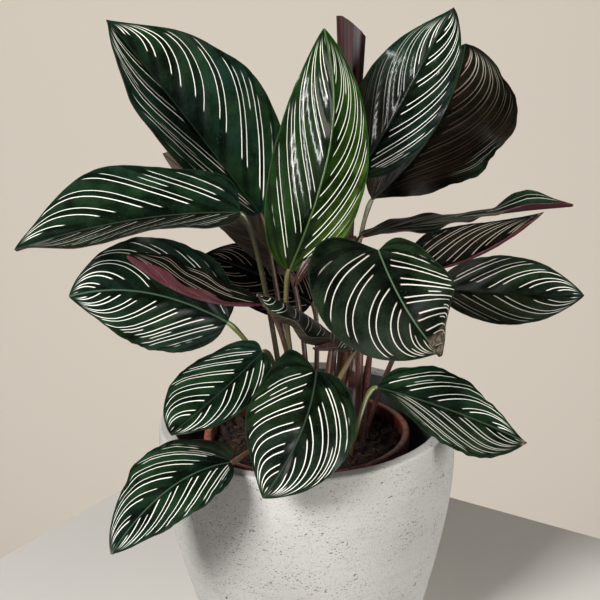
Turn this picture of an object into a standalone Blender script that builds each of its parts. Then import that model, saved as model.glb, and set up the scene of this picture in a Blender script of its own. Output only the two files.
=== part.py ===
"""Pinstripe calathea in its nursery pot, standing in a round planter.

The origin is the middle of the planter's underside, +Z is up and -Y is the front. Sizes are
written in millimetres and turned into metres by MM. Each leaf is one row of LEAVES, which holds
its stalk, its midrib and its two half blades, and one function gives any point of its surface.
"""
import math
from collections import namedtuple

import bmesh
import bpy
from mathutils import Vector

MM = 0.001

# Clearance between pieces that touch on the real plant
GAP = 0.3

# Points closer together than this are one point, and how far a cutter runs past what it cuts
WELD = 0.01
CUT_MARGIN = 3.0

# Planter: a round cement pot with a slight belly under its rim
PLANTER_HEIGHT = 160.0
PLANTER_RIM_RADIUS = 100.0
PLANTER_BELLY = 1.0
PLANTER_BELLY_HEIGHT = 130.0
PLANTER_FOOT_RADIUS = 72.5
PLANTER_CURVE = 1.45
PLANTER_WALL = 9.5
PLANTER_FLOOR = 19.0
PLANTER_EDGE = 1.5
PLANTER_FOOT_ROUND = 6.0
PLANTER_SIDES = 48
PLANTER_BANDS = 7

# Nursery pot: thin plastic, tapered, with a collar under its rim
NURSERY_RIM_RADIUS = 70.5
NURSERY_RIM_HEIGHT = 149.0
NURSERY_COLLAR_DEPTH = 11.0
NURSERY_COLLAR_STEP = 3.0
NURSERY_BASE_RADIUS = 50.0
NURSERY_WALL = 2.0
NURSERY_EDGE = 0.8
NURSERY_SIDES = 40
DRAIN_HOLES = 6
DRAIN_RADIUS = 4.0
DRAIN_CIRCLE = 36.0

# Soil: peat that fills the nursery pot to 12 mm below its rim
SOIL_TOP = 137.0
SOIL_DOME = 3.0
SOIL_BUMP = 1.0
SOIL_RIPPLE = 9.0
SOIL_CROSS_RIPPLE = 14.0
SOIL_CALM_RADIUS = 15.0
SOIL_RINGS = 5
SOIL_SIDES = 36
HOLE_DEPTH = 16.0
HOLE_SIDES = 8

# Leaves: blade and midrib thickness, and how many cells a blade has
BLADE_THICKNESS = 0.9
MIDRIB_THICKNESS = 2.0
BLADE_ROWS = 16
BLADE_CELLS = 6
LOBE_REACH = 0.5

# Stalks
STALK_FOOT_RADIUS = 2.0
STALK_TIP_RADIUS = 1.5
STALK_POINTS = 10
STALK_STRAIGHT = 2.0
STALK_NECK = 8.0
STALK_SHORT = 0.6
STALK_SHORT_OF_LOBE = 1.5
LOBED_SEAT = 0.04
STALK_BEVEL = 1

# Crown: the sheathed stem that the rolled new leaf grows from
CROWN_ROOT = (28, 4)
CROWN_VIA = (30, 6, 210)
CROWN_TOP = (32, 16, 282)
CROWN_FOOT_RADIUS = 7.0
CROWN_TOP_RADIUS = 6.0
CROWN_POINTS = 9
CROWN_BEVEL = 2

# Rolled leaf: a sheet wound into a narrow cone, whose top slants towards SLANT_ANGLE (radians)
ROLLED_TOP = (37, 36, 418)
ROLLED_BASE_RADIUS = 4.4
ROLLED_TOP_RADIUS = 10.5
ROLLED_TURNS = 1.3
ROLLED_PITCH = 1.9
ROLLED_SLANT = 7.0
ROLLED_SLANT_ANGLE = 0.6
ROLLED_SLANT_POWER = 4
ROLLED_ROWS = 10
ROLLED_CELLS = 16

# One half of a blade: its width, the angle at which it leaves the midrib, how much more it bends
# on the way to its edge, where along the midrib it is widest, how it narrows to the base and to
# the tip, and how far its lobe reaches back past the base
Half = namedtuple("Half", "width fold curl widest shoulder point lobe",
                  defaults=(0, 0, 0.45, 0.5, 0.9, 0))

# One leaf: where its stalk is rooted, the point the stalk bends past, three points of its
# midrib, the way its upper face looks, its half blades seen from above with the tip ahead, and
# the height, number and phase of the waves at its edge
Leaf = namedtuple("Leaf", "name root via base mid tip face left right waves",
                  defaults=((0, 1, 0),))

LEAVES = (
    Leaf("upper_left", (-6, 14), (-14, 16, 225), (-27, 26, 297), (-80, 37, 370), (-123, 46, 426),
         (0.45, -0.8, 0.4), Half(43, 36, -10, point=1.15),
         Half(54, 20, -10, 0.36, point=1.2), (1.5, 3, 0)),
    Leaf("left", (-12, 4), (-22, -10, 250), (-38, -31, 314), (-107, -38, 313), (-181, -38, 296),
         (0, -0.36, 0.93), Half(36, 20, point=1.1),
         Half(40, 22, 0, 0.55, 0.3), (3, 1.5, 0.32)),
    Leaf("left_rear", (2, 8), (2, 12, 205), (-8, 19, 256), (-48, 46, 294), (-93, 64, 331),
         (-0.45, 0.75, 0.45), Half(34, 10), Half(15, 10)),
    Leaf("left_middle", (-12, -8), (-18, -18, 200), (-49, -35, 242), (-100, -41, 266),
         (-148, -45, 266), (-0.1, -0.85, 0.5), Half(36, 5, 10, 0.42, 0.4),
         Half(36, 5, 10, 0.42, 0.4), (1.5, 2, 0)),
    Leaf("left_folded", (-5, -6), (-4, -26, 200), (-25, -46, 258), (-69, -59, 270), (-107, -60, 297),
         (0.45, 0.1, 0.88), Half(15, 62, 10, 0.6, 0.8), Half(35, 38, 0, 0.6, 0.7, 0.6), (1.5, 3, 0)),
    Leaf("rear_dark", (6, 20), (8, 36, 185), (6, 48, 224), (-28, 52, 244), (-68, 58, 259),
         (-0.2, -0.9, 0.4), Half(24, 10, 10, 0.42, 0.4), Half(24, 10, 10, 0.42, 0.4)),
    Leaf("front_folded", (20, -8), (26, -8, 180), (31, -8, 210), (-1, -54, 255), (-28, -74, 274),
         (0.35, 0, 0.93), Half(26, -10, -10, 0.6, 0.8), Half(16, -60, 0, 0.35), (2, 3, 0)),
    Leaf("front", (0, -20), (2, -40, 200), (7, -72, 221), (-4, -110, 196), (-28, -126, 161),
         (0, -0.8, 0.6), Half(32, 0, -20, lobe=8), Half(36, 14, -20, lobe=60), (1, 2, 0)),
    Leaf("front_left", (-10, -18), (-14, -28, 195), (-27, -48, 226), (-53, -70, 209), (-85, -88, 188),
         (-0.3, -0.6, 0.7), Half(21, 0, -10), Half(34, 0, -10, 0.6, 0.5, 0.6, 30)),
    Leaf("heart", (38, -6), (45, -7, 225), (48, -49, 292), (63, -84, 264), (86, -70, 228),
         (0.1, -0.8, 0.6), Half(36, 5, -10, 0.5, 0.45, 0.5, 40),
         Half(52, 12, -10, 0.3, 0.45, 1.8, 45)),
    Leaf("right_middle", (40, 6), (58, 10, 200), (92, 14, 244), (143, 18, 237), (189, 8, 238),
         (0.1, -0.85, 0.5), Half(26, 5, 5), Half(22, 5, 5)),
    Leaf("right_upper", (10, -10), (16, -10, 230), (40, 1, 287), (110, 36, 288), (183, 25, 297),
         (0, 0.1, 1), Half(20), Half(20), (2, 1.85, 0.25)),
    Leaf("right_inner", (36, 16), (44, 8, 215), (66, 1, 261), (112, -2, 270), (158, -5, 301),
         (-0.4, -0.35, 0.85), Half(25, 50, 0, 0.32, 0.5, 1.1), Half(12, 60, 0, 0.6)),
    Leaf("top_right", (14, 2), (24, -2, 250), (38, 8, 326), (73, 14, 378), (103, 22, 434),
         (0.2, -0.9, 0.3), Half(31, 10, -10, point=1.2), Half(26, 10, -10, 0.42, 0.5, 0.75)),
    Leaf("top_far", (18, 22), (30, 40, 225), (50, 55, 296), (95, 70, 342), (118, 95, 395),
         (0.2, -0.85, 0.35), Half(36, 10), Half(47, 10, 0, 0.62, 1.3, 0.6), (3, 3, 0)),
    Leaf("centre", (2, -4), (-16, -24, 230), (-8, -28, 274), (13, -28, 346), (18, -4, 422),
         (0.1, -0.95, 0.2), Half(32, 12, 0, 0.42), Half(31, 12)),
    Leaf("lower_left", (-14, -28), (-20, -55, 180), (-48, -92, 170), (-86, -116, 164),
         (-123, -122, 124), (-0.3, -0.5, 0.8), Half(24, 0, -10),
         Half(36, 0, -10, 0.42, 0.42, 0.65, 40)),
    Leaf("lower_right", (30, -20), (36, -30, 174), (48, -14, 185), (97, -45, 179), (141, -66, 165),
         (-0.1, -0.7, 0.7), Half(26, 0, -10, 0.3, 0.45, 1.5), Half(25, 6, -10, 0.68, 1.1)),
)


def clear_scene():
    for obj in list(bpy.data.objects):
        bpy.data.objects.remove(obj, do_unlink=True)


def material(name, colour, roughness):
    made = bpy.data.materials.new(name)
    made.use_nodes = True
    shader = made.node_tree.nodes["Principled BSDF"]
    shader.inputs["Base Color"].default_value = (*colour, 1.0)
    shader.inputs["Roughness"].default_value = roughness
    shader.inputs["Metallic"].default_value = 0.0
    return made


def add_object(name, data, surface):
    data.materials.append(surface)
    obj = bpy.data.objects.new(name, data)
    bpy.context.scene.collection.objects.link(obj)
    return obj


def mesh_from(name, bm):
    mesh = bpy.data.meshes.new(name)
    bm.to_mesh(mesh)
    bm.free()
    mesh.shade_smooth()
    return mesh


def turned(name, profile, sides):
    """A mesh turned round Z from a closed outline of (radius, height) in mm, run anticlockwise."""
    bm = bmesh.new()
    points = [bm.verts.new((r * MM, 0, z * MM)) for r, z in profile]
    edges = [bm.edges.new((a, b)) for a, b in zip(points, points[1:] + points[:1])]
    bmesh.ops.spin(bm, geom=points + edges, cent=(0, 0, 0), axis=(0, 0, 1),
                   angle=math.tau, steps=sides, use_duplicate=False)
    bmesh.ops.remove_doubles(bm, verts=bm.verts, dist=WELD * MM)
    flat = [f for f in bm.faces if f.calc_area() < (WELD * MM) ** 2]
    bmesh.ops.delete(bm, geom=flat, context="FACES")
    bmesh.ops.recalc_face_normals(bm, faces=bm.faces)
    return mesh_from(name, bm)


def arc(centre, radius, start, end, steps):
    """Points of a round corner, from one angle to another in degrees."""
    for i in range(steps + 1):
        a = math.radians(start + (end - start) * i / steps)
        yield centre[0] + radius * math.cos(a), centre[1] + radius * math.sin(a)


def planter_radius(z):
    """Outer radius of the planter at a height."""
    if z > PLANTER_BELLY_HEIGHT:
        up = (z - PLANTER_BELLY_HEIGHT) / (PLANTER_HEIGHT - PLANTER_BELLY_HEIGHT)
        return PLANTER_RIM_RADIUS + PLANTER_BELLY * (1 - up * up)
    down = (PLANTER_BELLY_HEIGHT - z) / PLANTER_BELLY_HEIGHT
    belly = PLANTER_RIM_RADIUS + PLANTER_BELLY
    return belly - (belly - PLANTER_FOOT_RADIUS) * down ** PLANTER_CURVE


def planter_profile():
    top = PLANTER_HEIGHT - PLANTER_EDGE
    foot = PLANTER_FOOT_ROUND
    points = list(arc((planter_radius(foot) - foot, foot), foot, -90, -15, 3))
    for i in range(1, PLANTER_BANDS + 1):
        z = foot + (top - foot) * i / PLANTER_BANDS
        points.append((planter_radius(z), z))
    outer = planter_radius(top) - PLANTER_EDGE
    inner = planter_radius(top) - PLANTER_WALL + PLANTER_EDGE
    points += list(arc((outer, top), PLANTER_EDGE, 45, 90, 1))
    points += list(arc((inner, top), PLANTER_EDGE, 90, 180, 2))
    low = PLANTER_FLOOR + foot
    for z in (PLANTER_BELLY_HEIGHT, (PLANTER_BELLY_HEIGHT + low) / 2, low):
        points.append((planter_radius(z) - PLANTER_WALL, z))
    points.append((planter_radius(low) - PLANTER_WALL - foot, PLANTER_FLOOR))
    points.append((0, PLANTER_FLOOR))
    points.append((0, 0))
    return points


def nursery_wall_radius(z):
    """Outer radius of the nursery pot's wall below its collar."""
    low = PLANTER_FLOOR + GAP
    up = (z - low) / (NURSERY_RIM_HEIGHT - low)
    collar = NURSERY_RIM_RADIUS - NURSERY_COLLAR_STEP
    return NURSERY_BASE_RADIUS + (collar - NURSERY_BASE_RADIUS) * up


def nursery_profile():
    low = PLANTER_FLOOR + GAP
    rim = NURSERY_RIM_HEIGHT
    collar = rim - NURSERY_COLLAR_DEPTH
    floor = low + NURSERY_WALL
    return [
        (0, low),
        (NURSERY_BASE_RADIUS - NURSERY_WALL, low),
        (nursery_wall_radius(low + NURSERY_WALL), low + NURSERY_WALL),
        (nursery_wall_radius(collar), collar),
        (NURSERY_RIM_RADIUS - NURSERY_EDGE, collar),
        (NURSERY_RIM_RADIUS, rim - NURSERY_EDGE),
        (NURSERY_RIM_RADIUS - NURSERY_EDGE, rim),
        (nursery_wall_radius(rim) - NURSERY_WALL + NURSERY_EDGE, rim),
        (nursery_wall_radius(rim) - NURSERY_WALL, rim - NURSERY_EDGE),
        (nursery_wall_radius(floor) - NURSERY_WALL, floor),
        (0, floor),
    ]


def soil_height(radius, angle):
    """Height of the soil's surface: low at the pot's wall, with shallow bumps."""
    edge = nursery_wall_radius(SOIL_TOP) - NURSERY_WALL - GAP
    rise = SOIL_DOME * (1 - (radius / edge) ** 2)
    ripple = math.sin(radius / SOIL_RIPPLE + 2 * angle)
    cross_ripple = math.cos(3 * angle - radius / SOIL_CROSS_RIPPLE)
    bump = SOIL_BUMP * ripple * cross_ripple * min(1, radius / SOIL_CALM_RADIUS)
    return SOIL_TOP + rise + bump


def soil_mesh():
    """Peat in the nursery pot, closed below and at the side, with a bumpy top."""
    bm = bmesh.new()
    low = PLANTER_FLOOR + NURSERY_WALL + 2 * GAP
    edge = nursery_wall_radius(SOIL_TOP) - NURSERY_WALL - GAP
    foot = nursery_wall_radius(low) - NURSERY_WALL - GAP
    rings = []
    for i in range(1, SOIL_RINGS + 1):
        radius = edge * i / SOIL_RINGS
        rings.append([(radius, soil_height(radius, a)) for a in angles(SOIL_SIDES)])
    rings.append([(foot, low)] * SOIL_SIDES)
    loops = []
    for ring in rings:
        loops.append([bm.verts.new((r * math.cos(a) * MM, r * math.sin(a) * MM, z * MM))
                      for (r, z), a in zip(ring, angles(SOIL_SIDES))])
    top = bm.verts.new((0, 0, soil_height(0, 0) * MM))
    bottom = bm.verts.new((0, 0, low * MM))
    for i in range(SOIL_SIDES):
        j = (i + 1) % SOIL_SIDES
        bm.faces.new((top, loops[0][i], loops[0][j]))
        bm.faces.new((bottom, loops[-1][j], loops[-1][i]))
        for inner, outer in zip(loops, loops[1:]):
            bm.faces.new((inner[i], outer[i], outer[j], inner[j]))
    bmesh.ops.triangulate(bm, faces=bm.faces)
    bmesh.ops.recalc_face_normals(bm, faces=bm.faces)
    return mesh_from("soil", bm)


def angles(count):
    return [math.tau * i / count for i in range(count)]


def cutters(name, places, radius, low, high, sides):
    """Round cutters in a collection of their own, for a Boolean. A radius goes to the flats."""
    group = bpy.data.collections.new(name)
    bpy.context.scene.collection.children.link(group)
    for number, (x, y, extra) in enumerate(places):
        bm = bmesh.new()
        outer = (radius + extra) * MM / math.cos(math.pi / sides)
        bmesh.ops.create_cone(bm, cap_ends=True, segments=sides, radius1=outer, radius2=outer,
                              depth=(high - low) * MM)
        bmesh.ops.translate(bm, verts=bm.verts, vec=Vector((x, y, (low + high) / 2)) * MM)
        obj = bpy.data.objects.new(f"{name}_{number}", mesh_from(f"{name}_{number}", bm))
        obj.hide_render = True
        obj.display_type = "WIRE"
        group.objects.link(obj)
    return group


def cut(obj, group):
    boolean = obj.modifiers.new("holes", "BOOLEAN")
    boolean.operation = "DIFFERENCE"
    boolean.solver = "EXACT"
    boolean.operand_type = "COLLECTION"
    boolean.collection = group


def bezier(points, t):
    """A point of the Bezier curve with any number of control points."""
    points = [Vector(p) for p in points]
    while len(points) > 1:
        points = [a.lerp(b, t) for a, b in zip(points, points[1:])]
    return points[0]


def midrib(leaf, s):
    """Point and direction of the midrib, which runs through the leaf's base, mid and tip."""
    base, mid, tip = Vector(leaf.base), Vector(leaf.mid), Vector(leaf.tip)
    handle = 2 * mid - (base + tip) / 2
    along = (handle - base).lerp(tip - handle, s)
    return bezier((base, handle, tip), s), along.normalized()


def upward(leaf, along):
    """The way the upper face looks where the midrib runs along the given direction."""
    face = Vector(leaf.face)
    return (face - along * face.dot(along)).normalized()


def breadth(half, s):
    """Share of its full width that a half blade has at s, 0 at the base and 1 at the tip."""
    if s < half.widest:
        return max(0, 1 - (1 - s / half.widest) ** 2) ** half.shoulder
    past = (s - half.widest) / (1 - half.widest)
    return max(0, 1 - past * past) ** half.point


def blade_point(leaf, s, v):
    """Point of the upper face: s runs from base to tip, v from -1 at the left edge to 1."""
    point, along = midrib(leaf, s)
    up = upward(leaf, along)
    side = along.cross(up)
    half = leaf.right if v > 0 else leaf.left
    hand = 1 if v > 0 else -1
    share = breadth(half, s)
    q = abs(v)
    fold = math.radians(half.fold)
    curl = math.radians(half.curl)
    if half.curl:
        across = (math.sin(fold + curl * q) - math.sin(fold)) / curl
        rise = (math.cos(fold) - math.cos(fold + curl * q)) / curl
    else:
        across, rise = q * math.cos(fold), q * math.sin(fold)
    point += (side * hand * across + up * rise) * half.width * share
    height, count, phase = leaf.waves
    wave = math.sin(math.tau * (count * s + hand * phase))
    point += up * height * q * q * wave * min(1, 2 * share)
    if s < LOBE_REACH:
        point -= along * half.lobe * q ** 3 * (1 - s / LOBE_REACH) ** 3 * share
    return point


def row_place(share):
    """Rows of a blade lie closer together towards its base and its tip."""
    return (share + 0.5 - 0.5 * math.cos(math.pi * share)) / 2


def blade(leaf, surface):
    """A thin waved sheet, triangulated before it gets its thickness so both faces match."""
    bm = bmesh.new()
    keel = bm.verts.layers.deform.verify()
    bmesh.ops.create_grid(bm, x_segments=BLADE_CELLS, y_segments=BLADE_ROWS, size=0.5)
    for vert in bm.verts:
        v, s = 2 * vert.co.x, vert.co.y + 0.5
        on_midrib = abs(v) < 1 / BLADE_CELLS
        vert[keel][0] = 1.0 if on_midrib else BLADE_THICKNESS / MIDRIB_THICKNESS
        vert.co = blade_point(leaf, row_place(s), v) * MM
    bmesh.ops.remove_doubles(bm, verts=bm.verts, dist=WELD * MM)
    bmesh.ops.triangulate(bm, faces=bm.faces)
    obj = add_object(f"{leaf.name}_blade", mesh_from(f"{leaf.name}_blade", bm), surface)
    obj.vertex_groups.new(name="keel")
    solidify = obj.modifiers.new("thickness", "SOLIDIFY")
    solidify.thickness = MIDRIB_THICKNESS * MM
    solidify.offset = -1
    solidify.vertex_group = "keel"


def tube(name, points, foot, top, bevel, surface):
    """A round stem along points in mm that narrows evenly from its foot to its top."""
    curve = bpy.data.curves.new(name, "CURVE")
    curve.dimensions = "3D"
    curve.bevel_depth = MM
    curve.bevel_resolution = bevel
    curve.use_fill_caps = True
    spline = curve.splines.new("POLY")
    spline.points.add(len(points) - 1)
    for number, (place, point) in enumerate(zip(points, spline.points)):
        point.co = (*(Vector(place) * MM), 1)
        point.radius = foot + (top - foot) * number / (len(points) - 1)
    add_object(name, curve, surface)


def rooted(root, path, count):
    """Points of a stem that stands upright in its hole and then follows its curve."""
    x, y = root
    top = soil_height(math.hypot(x, y), math.atan2(y, x))
    start = Vector((x, y, top + STALK_STRAIGHT))
    points = [Vector((x, y, top - HOLE_DEPTH + GAP)), start]
    points += [bezier((start, *path), i / count) for i in range(1, count + 1)]
    return points


def stalk(leaf, surface):
    """The leaf's stalk, from its hole in the soil to the base of its blade.

    It meets a blade end to end, and one with two lobes from below, at LOBED_SEAT of its midrib.
    """
    if min(leaf.left.lobe, leaf.right.lobe) > 0:
        seat, along = midrib(leaf, LOBED_SEAT)
        up = upward(leaf, along)
        lean = (along + 2 * up).normalized()
        end = seat - up * (MIDRIB_THICKNESS + GAP + STALK_TIP_RADIUS * lean.dot(along))
    else:
        seat, lean = midrib(leaf, 0)
        lobed = max(leaf.left.lobe, leaf.right.lobe) > 0
        short = STALK_SHORT_OF_LOBE if lobed else STALK_SHORT
        end = seat - lean * short - upward(leaf, lean) * MIDRIB_THICKNESS / 2
    neck = end - lean * STALK_NECK
    points = rooted(leaf.root, (leaf.via, neck, end), STALK_POINTS - 2)
    tube(f"{leaf.name}_stalk", points, STALK_FOOT_RADIUS, STALK_TIP_RADIUS, STALK_BEVEL, surface)


def rolled_leaf(surface):
    """The new leaf: a sheet wound round its axis, wider and cut at a slant at the top."""
    base, top = Vector(CROWN_TOP), Vector(ROLLED_TOP)
    axis = (top - base).normalized()
    base += axis * GAP
    turn = axis.to_track_quat("Z", "Y").to_matrix()
    bm = bmesh.new()
    bmesh.ops.create_grid(bm, x_segments=ROLLED_CELLS, y_segments=ROLLED_ROWS, size=0.5)
    for vert in bm.verts:
        wind, s = vert.co.x + 0.5, vert.co.y + 0.5
        angle = math.tau * ROLLED_TURNS * wind
        radius = ROLLED_BASE_RADIUS + (ROLLED_TOP_RADIUS - ROLLED_BASE_RADIUS) * s
        radius -= ROLLED_PITCH * (1 - wind) * ROLLED_TURNS
        slant = ROLLED_SLANT * math.cos(angle - ROLLED_SLANT_ANGLE) * s ** ROLLED_SLANT_POWER
        height = (top - base).length * s + slant
        local = Vector((radius * math.cos(angle), radius * math.sin(angle), height))
        vert.co = (base + turn @ local) * MM
    bmesh.ops.triangulate(bm, faces=bm.faces)
    obj = add_object("rolled_leaf", mesh_from("rolled_leaf", bm), surface)
    solidify = obj.modifiers.new("thickness", "SOLIDIFY")
    solidify.thickness = BLADE_THICKNESS * MM
    solidify.offset = -1


def build_planter():
    cement = material("planter_cement", (0.72, 0.71, 0.68), 0.75)
    add_object("planter", turned("planter", planter_profile(), PLANTER_SIDES), cement)


def build_nursery_pot():
    plastic = material("nursery_pot_plastic", (0.42, 0.14, 0.07), 0.5)
    mesh = turned("nursery_pot", nursery_profile(), NURSERY_SIDES)
    pot = add_object("nursery_pot", mesh, plastic)
    low = PLANTER_FLOOR + GAP - CUT_MARGIN
    high = PLANTER_FLOOR + GAP + NURSERY_WALL + CUT_MARGIN
    places = [(DRAIN_CIRCLE * math.cos(a), DRAIN_CIRCLE * math.sin(a), 0)
              for a in angles(DRAIN_HOLES)]
    cut(pot, cutters("drain", places, DRAIN_RADIUS, low, high, HOLE_SIDES))


def build_soil():
    peat = material("soil_peat", (0.025, 0.016, 0.012), 0.95)
    soil = add_object("soil", soil_mesh(), peat)
    stems = [(*leaf.root, 0) for leaf in LEAVES]
    stems.append((*CROWN_ROOT, CROWN_FOOT_RADIUS - STALK_FOOT_RADIUS))
    group = bpy.data.collections.new("stem_holes")
    high = SOIL_TOP + SOIL_DOME + SOIL_BUMP + CUT_MARGIN
    for number, (x, y, extra) in enumerate(stems):
        bottom = soil_height(math.hypot(x, y), math.atan2(y, x)) - HOLE_DEPTH
        hole = cutters(f"hole_{number}", [(x, y, extra)], STALK_FOOT_RADIUS + GAP,
                       bottom, high, HOLE_SIDES)
        for obj in hole.objects:
            group.objects.link(obj)
    cut(soil, group)


def build_plant():
    green = material("blade_green", (0.012, 0.07, 0.035), 0.35)
    fresh = material("blade_fresh_green", (0.02, 0.13, 0.03), 0.3)
    stem = material("stalk_red_brown", (0.16, 0.07, 0.05), 0.5)
    pale = material("stalk_pale_green", (0.35, 0.36, 0.12), 0.5)
    rolled = material("rolled_leaf_pink", (0.3, 0.15, 0.15), 0.5)
    for leaf in LEAVES:
        blade(leaf, fresh if leaf.name == "centre" else green)
        stalk(leaf, pale if leaf.name in ("centre", "left_middle", "lower_right") else stem)
    points = rooted(CROWN_ROOT, (CROWN_VIA, CROWN_TOP), CROWN_POINTS - 2)
    tube("crown_stem", points, CROWN_FOOT_RADIUS, CROWN_TOP_RADIUS, CROWN_BEVEL, stem)
    rolled_leaf(rolled)


def main():
    clear_scene()
    build_planter()
    build_nursery_pot()
    build_soil()
    build_plant()


main()
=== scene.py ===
"""Looks of the pinstripe calathea in its nursery pot and cement planter.

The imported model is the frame: same origin under the planter, same axes, metres. Sizes are
written in millimetres and turned into metres by MM. The leaf table and the function that gives
a point of a blade are those of the solids, so each finished leaf lies on its solid.
"""
import math
import random
from collections import namedtuple
from functools import partial

import bmesh
import bpy
from mathutils import Matrix, Vector, noise

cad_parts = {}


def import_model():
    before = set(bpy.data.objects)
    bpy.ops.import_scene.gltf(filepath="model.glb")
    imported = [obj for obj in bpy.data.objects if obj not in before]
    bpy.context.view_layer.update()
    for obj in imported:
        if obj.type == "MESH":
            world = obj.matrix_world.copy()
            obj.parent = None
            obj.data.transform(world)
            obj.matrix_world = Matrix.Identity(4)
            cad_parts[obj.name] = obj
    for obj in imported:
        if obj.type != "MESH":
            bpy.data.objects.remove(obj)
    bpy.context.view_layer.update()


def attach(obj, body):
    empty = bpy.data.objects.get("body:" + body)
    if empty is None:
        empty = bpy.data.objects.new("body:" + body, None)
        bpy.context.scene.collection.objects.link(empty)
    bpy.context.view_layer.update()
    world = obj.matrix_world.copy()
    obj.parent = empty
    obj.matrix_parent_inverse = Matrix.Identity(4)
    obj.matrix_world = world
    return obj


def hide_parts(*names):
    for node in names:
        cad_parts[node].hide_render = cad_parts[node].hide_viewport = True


MM = 0.001
WELD = 0.01
GAP = 0.3
SEED = 7

# Planter
PLANTER_HEIGHT = 160.0
PLANTER_RIM_RADIUS = 100.0
PLANTER_BELLY = 1.0
PLANTER_BELLY_HEIGHT = 130.0
PLANTER_FOOT_RADIUS = 72.5
PLANTER_CURVE = 1.45
PLANTER_WALL = 9.5
PLANTER_FLOOR = 19.0
PLANTER_EDGE = 1.8
PLANTER_FOOT_ROUND = 6.0
PLANTER_SIDES = 144
PLANTER_BANDS = 30
PLANTER_INNER_BANDS = 14
PLANTER_COATED_LIP = 5.0

# How far the planter's cast wall and rim stray from round in mm, how many waves of that lie in
# a metre, and where on the planter it begins
PLANTER_UNEVEN = 0.25
PLANTER_WAVES = 28.0
PLANTER_FINE_WAVES = 90.0
RIM_WAVES = 60.0
RIM_ZONE = 10.0
UNEVEN_FROM_RADIUS = 60.0
UNEVEN_FROM_HEIGHT = 1.0

# Nursery pot
NURSERY_RIM_RADIUS = 70.5
NURSERY_RIM_HEIGHT = 149.0
NURSERY_COLLAR_DEPTH = 11.0
NURSERY_COLLAR_STEP = 3.0
NURSERY_BASE_RADIUS = 50.0
NURSERY_WALL = 2.0
NURSERY_CLEAN_LIP = 3.4
NURSERY_LIP_ROLL = 1.4
NURSERY_LIP_DEPTH = 6.0
NURSERY_SIDES = 112
DRAIN_HOLES = 6
DRAIN_RADIUS = 4.0
DRAIN_CIRCLE = 36.0
DRILL_LENGTH = 10.0

# Soil
SOIL_TOP = 137.0
SOIL_DOME = 3.0
SOIL_BUMP = 1.0
SOIL_RIPPLE = 9.0
SOIL_CROSS_RIPPLE = 14.0
SOIL_CALM_RADIUS = 15.0
SOIL_CELLS = 96
SOIL_LUMP = 2.6
SOIL_LUMP_SIZE = 6.0
SOIL_LUMP_FADE = 4.0
SOIL_BANK = 5.0
SOIL_BANK_WIDTH = 14.0
HOLE_DEPTH = 16.0
CRUMBS = 620
CRUMB_SIZES = (0.8, 1.0, 1.2, 1.5, 2.1)
CRUMB_MARGIN = 3.0
CRUMB_ROUGHNESS = 0.35
CRUMB_WAVES = 900
FIBRES = 150
FIBRE_LENGTHS = (4, 11)
FIBRE_RADII = (0.22, 0.1)
FIBRE_MARGIN = 6.0
FIBRE_LIFT = 1.4

# Leaves
BLADE_THICKNESS = 0.55
MIDRIB_THICKNESS = 1.9
BLADE_ROWS = 84
BLADE_CELLS = 28
CELL_CROWDING = 1.35
LOBE_REACH = 0.5
QUILT = 0.42
QUILT_SHARE = 0.04
RIB_GROOVE = 0.4
RIB_GROOVE_WIDTH = 2.2
MARGIN_RIPPLE = 1.2
EDGE_WAVES = 7.0
EDGE_WAVE_POWER = 5
RIPPLE_WAVES = 9.0

# Stripes: how far past the base the first ones start, how bare the blade is beside the midrib
# near the base, and the distances between pairs in mm
LOBE_STRIPES = 0.6
BASE_STRIPES = 0.55
BASE_BARE = 0.09
BASE_BARE_REACH = 0.24
MOST_BARE = 0.75
LEAST_PITCH = 0.5
MOST_PITCH = 30.0

# Where a stripe pair's number starts on each leaf and half, so that each has its own luck
LEAF_COUNTS = 40
HALF_COUNTS = 20

# The step for measuring the blade's slope, and the area below which it has none
SURFACE_STEP = 0.004
FLAT_SPREAD = 1e-6

# Stalks
STALK_FOOT_RADIUS = 2.1
STALK_TIP_RADIUS = 1.5
STALK_STRAIGHT = 2.0
STALK_NECK = 8.0
STALK_SIDES = 14
STALK_RINGS = 44
LOBED_SEAT = 0.04
LOBED_SEAT_DEPTH = 1.2
KNEE_LENGTH = 9.0
KNEE_SWELL = 0.35

# Crown and rolled leaf
CROWN_ROOT = (28, 4)
CROWN_VIA = (30, 6, 210)
CROWN_TOP = (32, 16, 282)
CROWN_FOOT_RADIUS = 6.2
CROWN_TOP_RADIUS = 5.2
ROLLED_TOP = (37, 36, 418)
ROLLED_BASE_RADIUS = 4.4
ROLLED_TOP_RADIUS = 10.5
ROLLED_TURNS = 1.3
ROLLED_PITCH = 1.9
ROLLED_SLANT = 7.0
ROLLED_SLANT_ANGLE = 0.6
ROLLED_SLANT_POWER = 4
ROLLED_THICKNESS = 0.6
ROLLED_CELLS = (72, 60)
ROLLED_SUNK = 3.0
ROLLED_FLUTES = 9
ROLLED_FLUTE_DEPTH = 0.25
CROWN_RINGS = 40
CROWN_SIDES = 24

# Sheaths: cells across and along, thickness in mm, how their ridges and their limp edge stray as
# shares of the radius, and the share of the radius that is left where they end
SHEATH_CELLS = (22, 26)
SHEATH_THICKNESS = 0.5
SHEATH_RIDGE = 0.04
SHEATH_RIDGES = 24
SHEATH_LIMPNESS = 0.12
SHEATH_END = 0.72

# Camera: a 90 mm lens on a 36 mm sensor, matched to the photograph
CAMERA_PLACE = (-1.90, -943.48, 570.24)
CAMERA_PITCH = 19.10
CAMERA_ROLL = 1.7
CAMERA_LENS = 90.0
SENSOR = 36.0

# Table: its back corner, the turn of its sides in degrees, and how far it runs
TABLE_CORNER = (-79, 333)
TABLE_TURN = -36.0
TABLE_SIDE = 2600
TABLE_THICKNESS = 40
TABLE_EDGE = 2

# Wall: how far behind the plant's axis, the height of its middle and half its side, in metres
WALL_BACK = 1.6
WALL_MIDDLE = 1.0
WALL_REACH = 3

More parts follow.
